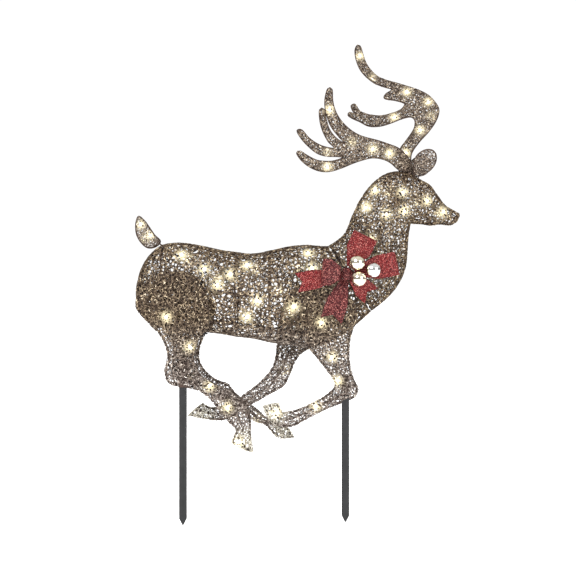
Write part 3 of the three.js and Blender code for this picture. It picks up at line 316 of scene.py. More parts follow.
def rounded(points, closed=False, step=4.0):
    """A smooth run through the points, about one point every step."""
    p = np.asarray(points, float)
    n = len(p)
    out = []
    for i in range(n if closed else n - 1):
        a, b, c, d = (p[(i + k) % n] if closed else p[min(max(i + k, 0), n - 1)] for k in (-1, 0, 1, 2))
        count = max(1, int(round(np.linalg.norm(c - b) / step)))
        for j in range(count):
            s = j / count
            out.append(0.5 * (2 * b + (c - a) * s + (2 * a - 5 * b + 4 * c - d) * s * s
                              + (3 * b - a - 3 * c + d) * s**3))
    if not closed:
        out.append(p[-1])
    return np.array(out)


def tube(points, r, closed=False, sides=8):
    """A round tube along points; open ends get a small dome. Returns vertices and faces."""
    p = np.asarray(points, float)
    n = len(p)
    if closed:
        t = unit(unit(np.roll(p, -1, 0) - p) + unit(p - np.roll(p, 1, 0)))
    else:
        d = unit(p[1:] - p[:-1])
        t = unit(np.concatenate([d[:1], d[:-1] + d[1:], d[-1:]]))
    radii = np.full(n, float(r))
    if not closed:  # domed ends
        p = np.concatenate([[p[0] - t[0] * r * 0.7], [p[0] - t[0] * r * 0.4], p, [p[-1] + t[-1] * r * 0.4],
                            [p[-1] + t[-1] * r * 0.7]])
        t = np.concatenate([t[:1], t[:1], t, t[-1:], t[-1:]])
        radii = np.concatenate([[r * 0.35, r * 0.8], radii, [r * 0.8, r * 0.35]])
        n += 4
    u = np.cross(t[0], P(0, 1, 0) if abs(t[0][1]) < 0.9 else P(1, 0, 0))
    us = []
    for k in t:
        u = unit(u - k * u.dot(k))
        us.append(u)
    us = np.array(us)
    if closed:
        back = unit(us[-1] - t[0] * us[-1].dot(t[0]))
        turn = math.atan2(np.cross(back, us[0]).dot(t[0]), back.dot(us[0]))
        a = (turn * np.arange(n) / n)[:, None]
        us = us * np.cos(a) + np.cross(t, us) * np.sin(a)
    w = np.cross(t, us)
    ang = 2 * np.pi * np.arange(sides) / sides
    verts = (p[:, None] + radii[:, None,
        None] * (us[:, None] * np.cos(ang)[None, :, None] + w[:, None] * np.sin(ang)[None, :,
            None])).reshape(-1, 3)
    faces = []
    for i in range(n if closed else n - 1):
        j = (i + 1) % n
        faces += [[i * sides + k, i * sides + (k + 1) % sides, j * sides + (k + 1) % sides, j * sides + k]
                  for k in range(sides)]
    if not closed:
        faces += [list(range(sides))[::-1], [(n - 1) * sides + k for k in range(sides)]]
    return verts, faces


def lathe(base, axis, profile, sides=14):
    """A turned shape: profile is (distance along axis, radius) pairs; closed where the radius is 0."""
    axis = unit(np.asarray(axis, float))
    u = unit(np.cross(axis, P(0, 0, 1) if abs(axis[2]) < 0.9 else P(1, 0, 0)))
    w = np.cross(axis, u)
    ang = 2 * np.pi * np.arange(sides) / sides
    verts = np.concatenate([base + axis * d + r * (np.cos(ang)[:, None] * u + np.sin(ang)[:, None] * w)
                            for d, r in profile])
    faces = [[i * sides + k, i * sides + (k + 1) % sides, (i + 1) * sides + (k + 1) % sides,
              (i + 1) * sides + k]
             for i in range(len(profile) - 1) for k in range(sides)]
    last = (len(profile) - 1) * sides
    return verts, faces + [list(range(sides))[::-1], [last + k for k in range(sides)]]


# ------------------------------------------------------------------ lofted shapes, as in the CAD
def section(rows, side, around, power):
    a = 2 * np.pi * np.arange(around) / around
    c = np.sign(np.cos(a)) * np.abs(np.cos(a)) ** power
    s = np.sign(np.sin(a)) * np.abs(np.sin(a)) ** power
    return np.array([np.stack([(x1 + x2) / 2 + (x1 - x2) / 2 * c, side * (y + np.where(s > 0, o, i) * s),
        (z1 + z2) / 2 + (z1 - z2) / 2 * c], 1)
                     for x1, z1, x2, z2, y, o, i in rows])


def leg_section(rows, side):
    out = []
    for x1, z1, x2, z2, y, o, i in rows:
        half = math.hypot(x1 - x2, z1 - z2) / 2
        e, so, si = 1 - 2.6 / half, min(3.8, o * 0.8), min(3.8, i * 0.95)
        out.append([P((x1 + x2) / 2 + (x1 - x2) / 2 * c, side * (y + s), (z1 + z2) / 2 + (z1 - z2) / 2 * c)
                    for c, s in ((1, 0), (e, so), (0, o), (-e, so), (-1, 0), (-e, -si), (0, -i), (e, -si))])
    return np.array(out)


def inward(G, d):
    n, mids, out = len(G), G.mean(1), G.copy()
    for i in range(n):
        nrm = unit(np.cross(G[min(i + 1, n - 1)] - G[max(i - 1, 0)],
                            np.roll(G[i], -1, 0) - np.roll(G[i], 1, 0)))
        nrm *= np.where((nrm * (G[i] - mids[i])).sum(1) < 0, -1, 1)[:, None]
        out[i] = G[i] - nrm * d
    out[0] -= unit(mids[0] - mids[1]) * d
    out[-1] -= unit(mids[-1] - mids[-2]) * d
    return out


def surface(G, along=5, around=3, smooth=True, sag=0.0, hold=()):
    """A finer grid over the stations: smooth lengthwise, smooth or straight round, drawn in between rings."""
    n, m = G.shape[:2]
    rows = []
    for i in range(n - 1):
        a, b, c, d = (G[min(max(i + k, 0), n - 1)] for k in (-1, 0, 1, 2))
        for j in range(along):
            s = j / along
            rows.append(0.5 * (2 * b + (c - a) * s + (2 * a - 5 * b + 4 * c - d) * s * s
                               + (3 * b - a - 3 * c + d) * s**3))
    rows.append(G[-1])
    R = np.array(rows)
    if sag and hold:
        pos = np.arange(len(R)) / along
        held = sorted(hold)
        depth = np.zeros(len(R))
        for a, b in zip(held, held[1:]):
            k = (pos > a) & (pos < b)
            depth[k] = np.sin(np.pi * (pos[k] - a) / (b - a))
        mids = R.mean(1, keepdims=True)
        R = R - unit(R - mids) * (sag * depth)[:, None, None]
    cols = []
    for k in range(m):
        a, b, c, d = (R[:, (k + q) % m] for q in (-1, 0, 1, 2))
        for j in range(around):
            s = j / around
            cols.append(0.5 * (2 * b + (c - a) * s + (2 * a - 5 * b + 4 * c - d) * s * s
                               + (3 * b - a - 3 * c + d) * s**3) if smooth else b + (c - b) * s)
    return np.stack(cols, 1)


def triangles(S, close_start=False, close_end=False):
    T = []
    sides = S.shape[1]
    for k in range(sides):
        q = (k + 1) % sides
        T += [np.stack([S[:-1, k], S[:-1, q], S[1:, q]], 1), np.stack([S[:-1, k], S[1:, q], S[1:, k]], 1)]
    for on, row in ((close_start, S[0]), (close_end, S[-1])):
        if on:
            mid = np.broadcast_to(row.mean(0), row.shape)
            T.append(np.stack([row, np.roll(row, -1, 0), mid], 1))
    return np.concatenate(T)


# ------------------------------------------------------------------ the net
# Random points on a surface, joined by short threads.
def scatter(T, cell):
    area = 0.5 * np.linalg.norm(np.cross(T[:, 1] - T[:, 0], T[:, 2] - T[:, 0]), axis=1)
    count = int(area.sum() / cell**2 * 2.4)
    pick = rng.choice(len(T), count, p=area / area.sum())
    a, b = rng.random(count), rng.random(count)
    flip = a + b > 1
    a[flip], b[flip] = 1 - a[flip], 1 - b[flip]
    pts = T[pick, 0] + a[:, None] * (T[pick, 1] - T[pick, 0]) + b[:, None] * (T[pick, 2] - T[pick, 0])
    return spaced(pts, cell * 0.66)


def spaced(pts, gap):
    """Leaves out points that lie closer than gap to one already kept."""
    grid, keep = {}, []
    cells = np.floor(pts / gap).astype(int).tolist()
    rows = pts.tolist()
    for i, (p, (cx, cy, cz)) in enumerate(zip(rows, cells)):
        near = False
        for dx in (-1, 0, 1):
            for dy in (-1, 0, 1):
                for dz in (-1, 0, 1):
                    for q in grid.get((cx + dx, cy + dy, cz + dz), ()):
                        if (p[0] - q[0]) ** 2 + (p[1] - q[1]) ** 2 + (p[2] - q[2]) ** 2 < gap * gap:
                            near = True
                            break
                    if near:
                        break
                if near:
                    break
            if near:
                break
        if not near:
            grid.setdefault((cx, cy, cz), []).append(p)
            keep.append(i)
    return pts[keep]


def threads(pts, cell, each):
    tree = kdtree.KDTree(len(pts))
    for i, p in enumerate(pts.tolist()):
        tree.insert(p, i)
    tree.balance()
    pairs = set()
    for i, p in enumerate(pts.tolist()):
        for _, j, d in tree.find_n(p, each + 1):
            if j != i and d < cell * 1.9:
                pairs.add((min(i, j), max(i, j)))
    return np.array(sorted(pairs))


# the light the lamps cast on the net is painted: each lens gives a warm emission pool on the threads round it
LAMPS = []  # lens positions, for the warm light on the threads round them


def net(name, pts, cell, each, width, pale, body, slot, replaces):
    """Threads along the pairs, each a thin three-sided strand with its own tint."""
    e = threads(pts, cell, each)
    a, b = pts[e[:, 0]], pts[e[:, 1]]
    d = unit(b - a)
    r = rng.uniform(width * 0.7, width * 1.3, len(e))
    a, b = a - d * r[:, None] * 0.6, b + d * r[:, None] * 0.6
    u = unit(np.cross(d, np.where(np.abs(d[:, 1:2]) < 0.9, [[0, 1, 0]], [[1, 0, 0]])))
    w = np.cross(d, u)
    off = [r[:, None] * (u * math.cos(t) + w * math.sin(t))
           for t in (0.3, 0.3 + 2 * math.pi / 3, 0.3 + 4 * math.pi / 3)]
    V = np.stack([a + off[0], a + off[1], a + off[2], b + off[0], b + off[1], b + off[2]], 1).reshape(-1, 3)
    k = 6 * np.arange(len(e))[:, None]
    F = np.concatenate([k + np.array([[0, 1, 4, 3]]), k + np.array([[1, 2, 5, 4]]),
                        k + np.array([[2, 0, 3, 5]])])
    # painted lamp light: a pool of warm emission on the threads, falling off with distance from each lens
    painted_glow = np.zeros(len(V))
    for q, reach in LAMPS:
        painted_glow = np.maximum(painted_glow, np.exp(-((V - q) ** 2).sum(1) / (2 * reach * reach)))
    tint = np.repeat(np.clip(rng.beta(1.6, 1.9, len(e)), 0, 1), 6)
    return piece(name, V, F, NET, body, slot, replaces, smooth=False,
                 attributes={"tint": tint, "pale": pale(V), "painted_glow": painted_glow})


# ------------------------------------------------------------------ tables
TORSO = [(a, b, c, d, 0, w, w) for a, b, c, d, w in (
    (-307, 415, -307, 372, 14), (-295, 458, -298, 343, 40), (-274, 491, -276, 324, 56),
    (-245, 511, -245, 312, 67),
    (-202, 518, -202, 305, 74), (-151, 511, -149, 301, 78), (-96, 498, -96, 296, 82),
    (-42, 492, -41, 287, 84),
    (10, 497, 12, 278, 84), (55, 508, 60, 270, 79), (95, 513, 106, 264, 73), (124, 511, 158, 279, 67),
    (140, 509, 210, 313, 61), (151, 508, 254, 353, 56))]
HEAD = [(a, b, c, d, 0, w, w) for a, b, c, d, w in (
    (153, 509, 256, 354, 56), (173, 523, 289, 379, 53), (188, 538, 312, 403, 50), (198, 554, 329, 432, 46),
    (206, 574, 338, 461, 43), (214, 593, 342, 492, 40), (225, 617, 344, 521, 38), (240, 640, 347, 545, 37),
    (259, 661, 350, 562, 38), (281, 677, 356, 562, 39), (303, 687, 365, 561, 40), (328, 688, 375, 560, 39),
    (353, 680, 384, 559, 36), (374, 667, 395, 558, 32), (395, 656, 405, 558, 27), (411, 635, 415, 559, 23),
    (431, 609, 431, 558, 19), (452, 595, 446, 558, 16), (467, 586, 459, 566, 11))]
HIND_TOP = [
    (-242, 445, -184, 445, 88, 6, 4), (-274, 422, -156, 424, 88, 10, 4), (-293, 392, -137, 399, 88, 13, 4),
    (-298, 364, -128, 369, 88, 14, 4), (-282, 341, -126, 341, 86, 15, 5), (-263, 320, -133, 315, 82, 15, 9),
    (-245, 301, -150, 292, 77, 15, 13), (-232, 275, -159, 270, 72, 15, 15),
    (-227, 247, -164, 247, 68, 14, 14),
    (-234, 211, -156, 216, 64, 14, 14), (-223, 184, -134, 192, 62, 14, 14),
    (-188, 176, -113, 180, 62, 13, 12),
    (-153, 167, -90, 172, 62, 11, 11)]
HIND_NEAR = HIND_TOP + [
    (-129, 148, -64, 154, 62, 11, 11), (-111, 127, -43, 134, 62, 12, 12), (-95, 106, -34, 115, 62, 12, 12),
    (-78, 87, -31, 94, 62, 11, 11), (-68, 75, -31, 72, 62, 11, 11), (-77, 47, -29, 50, 62, 14, 14),
    (-62, 36, -24, 22, 62, 12, 12)]
HIND_FAR = HIND_TOP + [
    (-134, 142, -73, 150, 62, 11, 11), (-102, 128, -46, 130, 62, 11, 11), (-65, 109, -19, 110, 62, 12, 12),
    (-31, 82, -1, 94, 62, 12, 12), (1, 70, 26, 81, 62, 11, 11), (13, 54, 55, 66, 62, 13, 13),
    (31, 38, 72, 41, 62, 12, 12)]
FRONT_NEAR = [
    (106, 431, 170, 428, 77, 6, 4), (86, 400, 199, 391, 77, 10, 4), (83, 361, 216, 357, 77, 12, 4),
    (87, 325, 215, 331, 74, 13, 7), (94, 291, 207, 309, 65, 14, 12), (105, 265, 201, 279, 53, 15, 14),
    (124, 242, 200, 250, 43, 15, 14), (147, 212, 203, 222, 36, 14, 14), (163, 188, 212, 193, 32, 14, 14),
    (165, 176, 222, 169, 31, 14, 14), (155, 163, 214, 149, 30, 13, 13), (139, 151, 186, 136, 30, 12, 12),
    (110, 135, 139, 117, 30, 11, 11), (77, 121, 99, 96, 30, 11, 11), (55, 116, 69, 80, 30, 12, 12),
    (43, 116, 34, 79, 30, 12, 12), (37, 124, 11, 94, 30, 12, 12), (33, 136, -6, 128, 30, 13, 13)]
FRONT_FAR = [
    (76, 408, 139, 408, 84, 6, 4), (50, 379, 154, 379, 84, 10, 4), (35, 341, 157, 341, 82, 12, 4),
    (29, 305, 154, 305, 72, 13, 8), (27, 268, 124, 270, 54, 14, 13), (26, 252, 89, 249, 45, 14, 14),
    (22, 230, 73, 228, 38, 14, 14), (14, 211, 64, 206, 34, 14, 14), (-1, 192, 55, 186, 31, 14, 14),
    (-19, 175, 44, 169, 30, 13, 13), (-48, 153, 2, 145, 30, 12, 12), (-76, 134, -42, 119, 30, 11, 11),
    (-92, 127, -68, 102, 30, 12, 12), (-112, 121, -101, 87, 30, 12, 12), (-134, 120, -139, 88, 30, 12, 12),
    (-152, 130, -189, 98, 30, 13, 13)]
torsoG, headG = section(TORSO, NEAR, 16, 0.92), section(HEAD, NEAR, 12, 0.95)
torsoI, headI = inward(torsoG, 4.3), inward(headG, 4.2)

seat_a, seat_b = P(151, 0, 508), P(254, 0, 353)
seat_dir = unit(seat_b - seat_a)
PULL = P(-seat_dir[2], 0, seat_dir[0])


def seat(t, out=0.0, y=0.0):
    q = seat_a + (seat_b - seat_a) * t + PULL * out
    return P(q[0], y, q[2])


def depth_at(G, side, x, z):
    """Distance of a loft's surface from the middle plane at (x, z) on one side."""
    best, m = 0.0, G.shape[1]
    for i in range(len(G) - 1):
        for k in range(m):
            q = (G[i][k], G[i][(k + 1) % m], G[i + 1][(k + 1) % m], G[i + 1][k])
            for a, b, c in ((q[0], q[1], q[2]), (q[0], q[2], q[3])):
                det = (b[0] - a[0]) * (c[2] - a[2]) - (c[0] - a[0]) * (b[2] - a[2])
                if abs(det) < 1e-6:
                    continue
                u = ((x - a[0]) * (c[2] - a[2]) - (c[0] - a[0]) * (z - a[2])) / det
                v = ((b[0] - a[0]) * (z - a[2]) - (x - a[0]) * (b[2] - a[2])) / det
                if u >= 0 and v >= 0 and u + v <= 1:
                    best = max(best, side * (a[1] + u * (b[1] - a[1]) + v * (c[1] - a[1])))
    return best


# ------------------------------------------------------------------ frames
def wires(name, runs, body, replaces):
    b = Build()
    for pts, r, closed, smooth in runs:
        b.add(*tube(rounded(pts, closed) if smooth else pts, r, closed))
    return piece(name, *b.done(), ENAMEL, body, "wire", replaces)


def eye(x, y, z):
    """The flat eye that a leg bolt passes through."""
    a = 2 * np.pi * np.arange(24) / 24
    return np.stack([x + 5.8 * np.cos(a), np.full(24, y), z + 5.8 * np.sin(a)], 1), 1.5, True, False


HIND_BOLT, FRONT_BOLT_N, FRONT_BOLT_F = (-212, 396), (140, 374), (87, 360)
BOLTS = ((NEAR, HIND_BOLT), (FAR, HIND_BOLT), (NEAR, FRONT_BOLT_N), (FAR, FRONT_BOLT_F))


def torso_frame():
    runs = [(torsoI[:, k], WIRE, False, True) for k in (0, 4, 6, 8, 10, 12)]
    runs += [(torsoI[i], WIRE, True, True) for i in (0, 3, 8, 13)]
    runs.append(((torsoI[6] + torsoI[7]) / 2, WIRE, True, True))
    for t in (0.22, 0.78):
        c = seat(t, -5.5)
        runs.append((np.array([P(c[0], -43, c[2]), P(c[0], 43, c[2])]), WIRE, False, False))
    for side, (x, z) in BOLTS:
        y = (depth_at(torsoI, side, x, z) - WIRE - 1.0) * side
        runs.append(eye(x, y, z))
        ring = torsoI[:, 4 if side == NEAR else 12]
        for dx in (-26, 26):
            j = int(np.argmax(ring[:, 0] > x + dx))
            g = (x + dx - ring[j - 1][0]) / (ring[j][0] - ring[j - 1][0])
            q = ring[j - 1] + (ring[j] - ring[j - 1]) * g
            runs.append((np.array([P(x + math.copysign(6.5, dx), y, z), q]), WIRE, False, False))
    wires("torso_wires", runs, "torso", ["torso_frame"])


def head_frame():
    n = len(headG)
    runs = [(headI[:, 0], WIRE, False, True), (headI[:, 6], WIRE, False, True)]
    runs += [(headI[: n - 1, k], WIRE, False, True) for k in (3, 9)]
    runs += [(headI[i], WIRE, True, True) for i in (0, 4, 9, 13, 18)]
    runs.append((np.array([seat(0, 6) + seat_dir * 4, seat(1, 6) - seat_dir * 4]), WIRE, False, False))
    runs += [(np.array([seat(t, 6), seat(t, -34)]), WIRE, False, False) for t in (0.22, 0.78)]
    wires("neck_head_wires", runs, "neck_head", ["neck_head_frame"])


def leg_frame(name, G, side, bolt_y, bolt, rings, inner_from, sleeve):
    I, last = inward(G, 4.1), len(G) - 1
    runs = [(I[:, k], WIRE, False, True) for k in (0, 4, 2)] + [(I[inner_from:, 6], WIRE, False, True)]
    for i in rings:
        if i >= inner_from:
            runs.append((I[i][[0, 2, 4, 6]], WIRE, True, False))
        else:
            runs += [(I[i][[4, 3, 2, 1, 0]], WIRE, False, False), (I[i][[0, 4]], WIRE, False, False)]
    runs += [(I[0][[0, 4]], WIRE, False, False), (I[0][[4, 3, 2, 1, 0]], WIRE, False, False),
             (I[last][[0, 4]], WIRE, False, False),
             (I[last][[2, 6]], WIRE, False, False), (I[inner_from][[6, 4]], WIRE, False, False)]

    def hit(k, z):
        L = I[:, k]
        j = int(np.argmax(L[:, 2] < z))
        return L[j - 1] + (L[j] - L[j - 1]) * ((z - L[j - 1][2]) / (L[j][2] - L[j - 1][2]))

    y = side * (bolt_y - 0.6)
    e = P(bolt[0], y, bolt[1])
    for k in (0, 4):
        q = hit(k, bolt[1])
        runs.append((np.array([q, e + unit(q - e) * 6.5]), WIRE, False, False))
    runs.append(eye(*e))
    if sleeve:
        at, heights, edge = sleeve
        for z in heights:
            y, q = at[1] + 5.2, hit(edge, z)
            s = -9 if edge == 0 else 9
            runs.append((np.array([q, P(at[0] + s, y, z), P(at[0] - s, y, z)]), WIRE, False, False))
    wires("leg_wires_" + name, runs, "torso", ["leg_frame_" + name])


REAR_STAKE, FRONT_STAKE = (-190, -68), (191, -35.3)
LEGS = {
    "hind_near": (HIND_NEAR, NEAR, 88, HIND_BOLT, (3, 8, 14), 6, (REAR_STAKE, (196, 228), 0)),
    "hind_far": (HIND_FAR, FAR, 88, HIND_BOLT, (3, 8, 14), 6, None),
    "front_near": (FRONT_NEAR, NEAR, 77, FRONT_BOLT_N, (1, 6, 12), 6, (FRONT_STAKE, (176, 198), 4)),
    "front_far": (FRONT_FAR, FAR, 84, FRONT_BOLT_F, (1, 7, 12), 5, None),
}
legG = {k: leg_section(v[0], v[1]) for k, v in LEGS.items()}


# ------------------------------------------------------------------ flat parts
class Flat:
    """A wire outline in a tilted plane with net stretched round it."""

    def __init__(self, outline, base, lean, side, half):
        self.y0, self.z0 = base
        self.c, self.s, self.side, self.half = math.cos(lean), math.sin(lean), side, half
        self.pts = np.array([(x, self.v(z)) for x, z in outline], float)

    def v(self, z):
        return (z - self.z0) / self.c

    def put(self, u, v, w=0.0):
        u, v, w = np.broadcast_arrays(u, v, w)
        return np.stack([u, self.side * (self.y0 + v * self.s + w * self.c),
                         self.z0 + v * self.c - w * self.s], -1).astype(float)

    def at(self, x, z, w=0.0):
        return self.put(x, self.v(z), w)

    def inset(self, d):
        p = self.pts
        a, b = unit(p - np.roll(p, 1, 0)), unit(np.roll(p, -1, 0) - p)
        turn = math.copysign(d, float((p[:, 0] * np.roll(p[:, 1], -1) - np.roll(p[:, 0], -1) * p[:,
            1]).sum()))
        n1, n2 = np.stack([a[:, 1], -a[:, 0]], 1), np.stack([b[:, 1], -b[:, 0]], 1)
        k = turn / np.maximum(0.45, 1 + (n1 * n2).sum(1))
        return p + (n1 + n2) * k[:, None]

    def cover_points(self, cell):
        """Points on both crowned faces and round the rim."""
        line = rounded(np.c_[self.inset(1.4), np.zeros(len(self.pts))], True, 2.0)[:, :2]
        lo, hi = line.min(0), line.max(0)
        count = int((hi - lo).prod() / cell**2 * 2.6)
        out = []
        for face in (-1, 1):
            q = lo + rng.random((count, 2)) * (hi - lo)
            a, b = line, np.roll(line, -1, 0)
            inside = np.zeros(count, bool)
            near = np.full(count, 1e9)
            for (ax, ay), (bx, by) in zip(a, b):
                cross = ((ay > q[:, 1]) != (by > q[:, 1])) & (q[:,
                    0] < (bx - ax) * (q[:, 1] - ay) / (by - ay + 1e-12) + ax)
                inside ^= cross
                near = np.minimum(near, (q[:, 0] - ax) ** 2 + (q[:, 1] - ay) ** 2)
            q, near = q[inside], np.sqrt(near[inside])
            crown = 1.9 + (self.half - 2.4) * np.sqrt(np.clip(near / 9.0, 0, 1))
            out.append(self.put(q[:, 0], q[:, 1], face * crown))
        rim = rounded(np.c_[self.inset(0.2), np.zeros(len(self.pts))], True, cell * 0.9)[:, :2]
        out.append(self.put(rim[:, 0], rim[:, 1], rng.uniform(-1.6, 1.6, len(rim))))
        return spaced(np.concatenate(out), cell * 0.66)


ANTLER_BASE, ANTLER_LEAN = (14, 691), 0.33


def lean_back(p):
    """The far antler's points are listed as they line up from the camera: carry one out to where it lies."""
    x, z = p
    if z <= ANTLER_BASE[1]:
        return x, z
    slope = math.tan(ANTLER_LEAN) / VIEW_AWAY
    scale = (1 + ANTLER_BASE[0] / VIEW_AWAY + slope * (VIEW_Z - ANTLER_BASE[1])) / (1 - slope * (z - VIEW_Z))
    return math.floor(VIEW_X + (x - VIEW_X) * scale + 0.5), math.floor(VIEW_Z + (z - VIEW_Z) * scale + 0.5)


NEAR_ANTLER = [
    (322, 691), (301, 707), (281, 716), (256, 719), (232, 714), (208, 706), (183, 696), (155, 688),
    (130, 689), (106, 699), (87, 714), (78, 728),
    (84, 731), (103, 720), (126, 710), (155, 708), (175, 712), (188, 719), (171, 722), (146, 723),
    (124, 730), (101, 748), (85, 766), (79, 778),
    (87, 779), (103, 762), (124, 748), (146, 740), (168, 739), (152, 755), (139, 778), (132, 801),
    (131, 824), (138, 825), (144, 801), (152, 780),
    (168, 761), (193, 748), (176, 767), (157, 791), (146, 820), (143, 846), (149, 870), (156, 869),
    (158, 846), (164, 824), (178, 801), (198, 782),
    (219, 769), (239, 762), (264, 756), (290, 748), (318, 737), (340, 716), (344, 691)]
FAR_ANTLER = [lean_back(p) for p in (
    (354, 691), (348, 712), (351, 734), (370, 760), (390, 782), (405, 803), (414, 823), (415, 839),
    (406, 855), (391, 869), (371, 880), (346, 889),
    (319, 897), (293, 904), (270, 914), (252, 931), (240, 950), (233, 971), (228, 985), (223, 989),
    (218, 981), (218, 966), (223, 949), (231, 931),
    (245, 915), (263, 901), (286, 892), (307, 885), (291, 873), (289, 864), (313, 859), (333, 854),
    (337, 846), (325, 834), (304, 825), (278, 820),
    (254, 822), (236, 826), (224, 834), (215, 847), (209, 845), (212, 834),
    (220, 823), (204, 828), (201, 823), (212, 815), (229, 808), (250, 798), (275, 798), (301, 805),
    (327, 815), (350, 820), (361, 812),
    (361, 794), (353, 778), (338, 758), (326, 742), (323, 720), (326, 691))]
EAR = [(358, 681), (355, 700), (358, 716), (368, 726), (381, 731), (394, 729), (402, 719), (402, 705),
       (394, 691), (380, 682)]
TAIL = [(-254, 520), (-266, 533), (-276, 547), (-284, 559), (-293, 570), (-302, 577), (-306, 570),
        (-308, 554), (-305, 535), (-295, 518), (-281, 507), (-264, 509)]
antlers = {"near": Flat(NEAR_ANTLER, ANTLER_BASE, ANTLER_LEAN, NEAR, 6.2),
           "far": Flat(FAR_ANTLER, ANTLER_BASE, ANTLER_LEAN, FAR, 6.2)}
ears = {"near": Flat(EAR, (25, 681), 0.6, NEAR, 3.6), "far": Flat(EAR, (25, 681), 0.6, FAR, 3.6)}
tail = Flat(TAIL, (0, 520), 0.0, NEAR, 8.5)
TAIL_PULL, TAIL_ROOT = P(-0.8, 0, 0.6), P(-262, 0, 521)


def flat_frames():
    for k, u, v0 in (("near", 331, 6), ("far", 340, 4)):
        a = antlers[k]
        line = a.inset(FLAT_WIRE)
        wires("antler_wires_" + k, [(a.put(line[:, 0], line[:, 1]), FLAT_WIRE, True, True),
                                    (np.array([a.put(u, v0), a.put(u, -34)]), 2.0, False, False)],
                                    "antler_" + k, ["antler_frame_" + k])
        e = ears[k]
        line = e.inset(FLAT_WIRE)
        wires("ear_wires_" + k, [(e.put(line[:, 0], line[:, 1]), FLAT_WIRE, True, True),
                                 (np.array([e.put(366, 3), e.put(366, -13)]), 1.2, False, False)],
                                 "neck_head", ["ear_frame_" + k])
    line = tail.inset(WIRE)
    wires("tail_wires", [(tail.put(line[:, 0], line[:, 1]), WIRE, True, True),
                         (np.array([TAIL_ROOT, TAIL_ROOT + TAIL_PULL * -52]), WIRE, False, False),
                         (np.array([P(-284, 0, 512), P(-284, 0, 555)]), WIRE, False, False)], "tail",
                         ["tail_frame"])


# ------------------------------------------------------------------ light strings
HOLDER = ((0, 1.4), (0.4, 2.1), (4.5, 2.3), (5.0, 2.9), (8.4, 2.9), (8.9, 2.5), (10.5, 2.4), (10.9, 1.9))
LENS_SHAPE = ((0, 1.6), (0.2, 2.6), (1.8, 2.9), (3.6, 2.7), (4.8, 2.0), (5.6, 1.1), (5.9, 0.3))


class Lights:
    def __init__(self):
        self.cable, self.lens = Build(), Build()

    def lamp(self, tip, direction, stem, painted_glow=15.0, size=1.0):
        """A lamp holder with its lens at tip, pointing along direction, and a stem of lead behind it."""
        d = unit(np.asarray(direction, float))
        tip = np.asarray(tip, float)
        base = tip - d * 5.2 * size
        if stem >= 10:
            self.cable.add(*lathe(base - d * 10.9, d, HOLDER))
            if stem > 12:
                self.cable.add(*tube(np.array([base - d * stem, base - d * 10]), 1.2))
        else:
            self.cable.add(*lathe(base - d * max(stem, 2.0), d,
                                  ((0, 1.6), (0.4, 2.6), (max(stem, 2.0) - 0.3, 2.6), (max(stem, 2.0), 2.0))))
        self.lens.add(*lathe(base, d, [(a * size, r * size) for a, r in LENS_SHAPE]))
        # painted_glow is how far the lamp light painted on the nearby threads reaches
        LAMPS.append((tip, painted_glow))

    def lead(self, pts):
        self.cable.add(*tube(rounded(pts, False, 5.0), LEAD, False, 6))

    def block(self, c, d, size):
        """A small connector block with chamfered ends."""
        d = unit(d)
        u = unit(np.cross(d, P(0, 1, 0)))
        w = np.cross(d, u)
        rows = []
        for t, k in ((-0.5, 0.8), (-0.42, 1), (0.42, 1), (0.5, 0.8)):
            rows += [c + d * size[2] * t + u * size[0] / 2 * k * a + w * size[1] / 2 * k * b for a,
                     b in ((-1, -1), (1, -1), (1, 1), (-1, 1))]
        faces = [[i * 4 + k, i * 4 + (k + 1) % 4, i * 4 + 4 + (k + 1) % 4, i * 4 + 4 + k] for i in range(3)
                 for k in range(4)]
        self.cable.add(np.array(rows), faces + [[3, 2, 1, 0], [12, 13, 14, 15]])

    def done(self, name, body, node_name):
        piece("lead_" + name, *self.cable.done(), LEAD_MAT, body, "lead", [node_name])
        piece("lenses_" + name, *self.lens.done(), LENS, body, "lead")


NEAR_TORSO = [(-195, 486), (-140, 452), (-109, 415), (-79, 440), (-41, 462), (-17, 379), (-41, 340),
              (69, 365), (112, 455), (103, 490)]
FAR_TORSO = [(-190, 480), (-120, 430), (-25, 455), (30, 400), (80, 460), (60, 350)]
LEG_LIGHTS = {
    "hind_near": (4, (4, 7, 11, 14, 18), {7: 0.3, 8: 0.33, 9: 0.34, 10: 0.36, 11: 0.3}),
    "hind_far": (4, (4, 10, 16), {}),
    "front_near": (2, (3, 6, 8, 12, 16), {6: -0.05, 7: -0.14, 8: -0.3, 9: -0.32, 10: -0.2}),
    "front_far": (2, (3, 7, 12), {7: 0.19}),
}


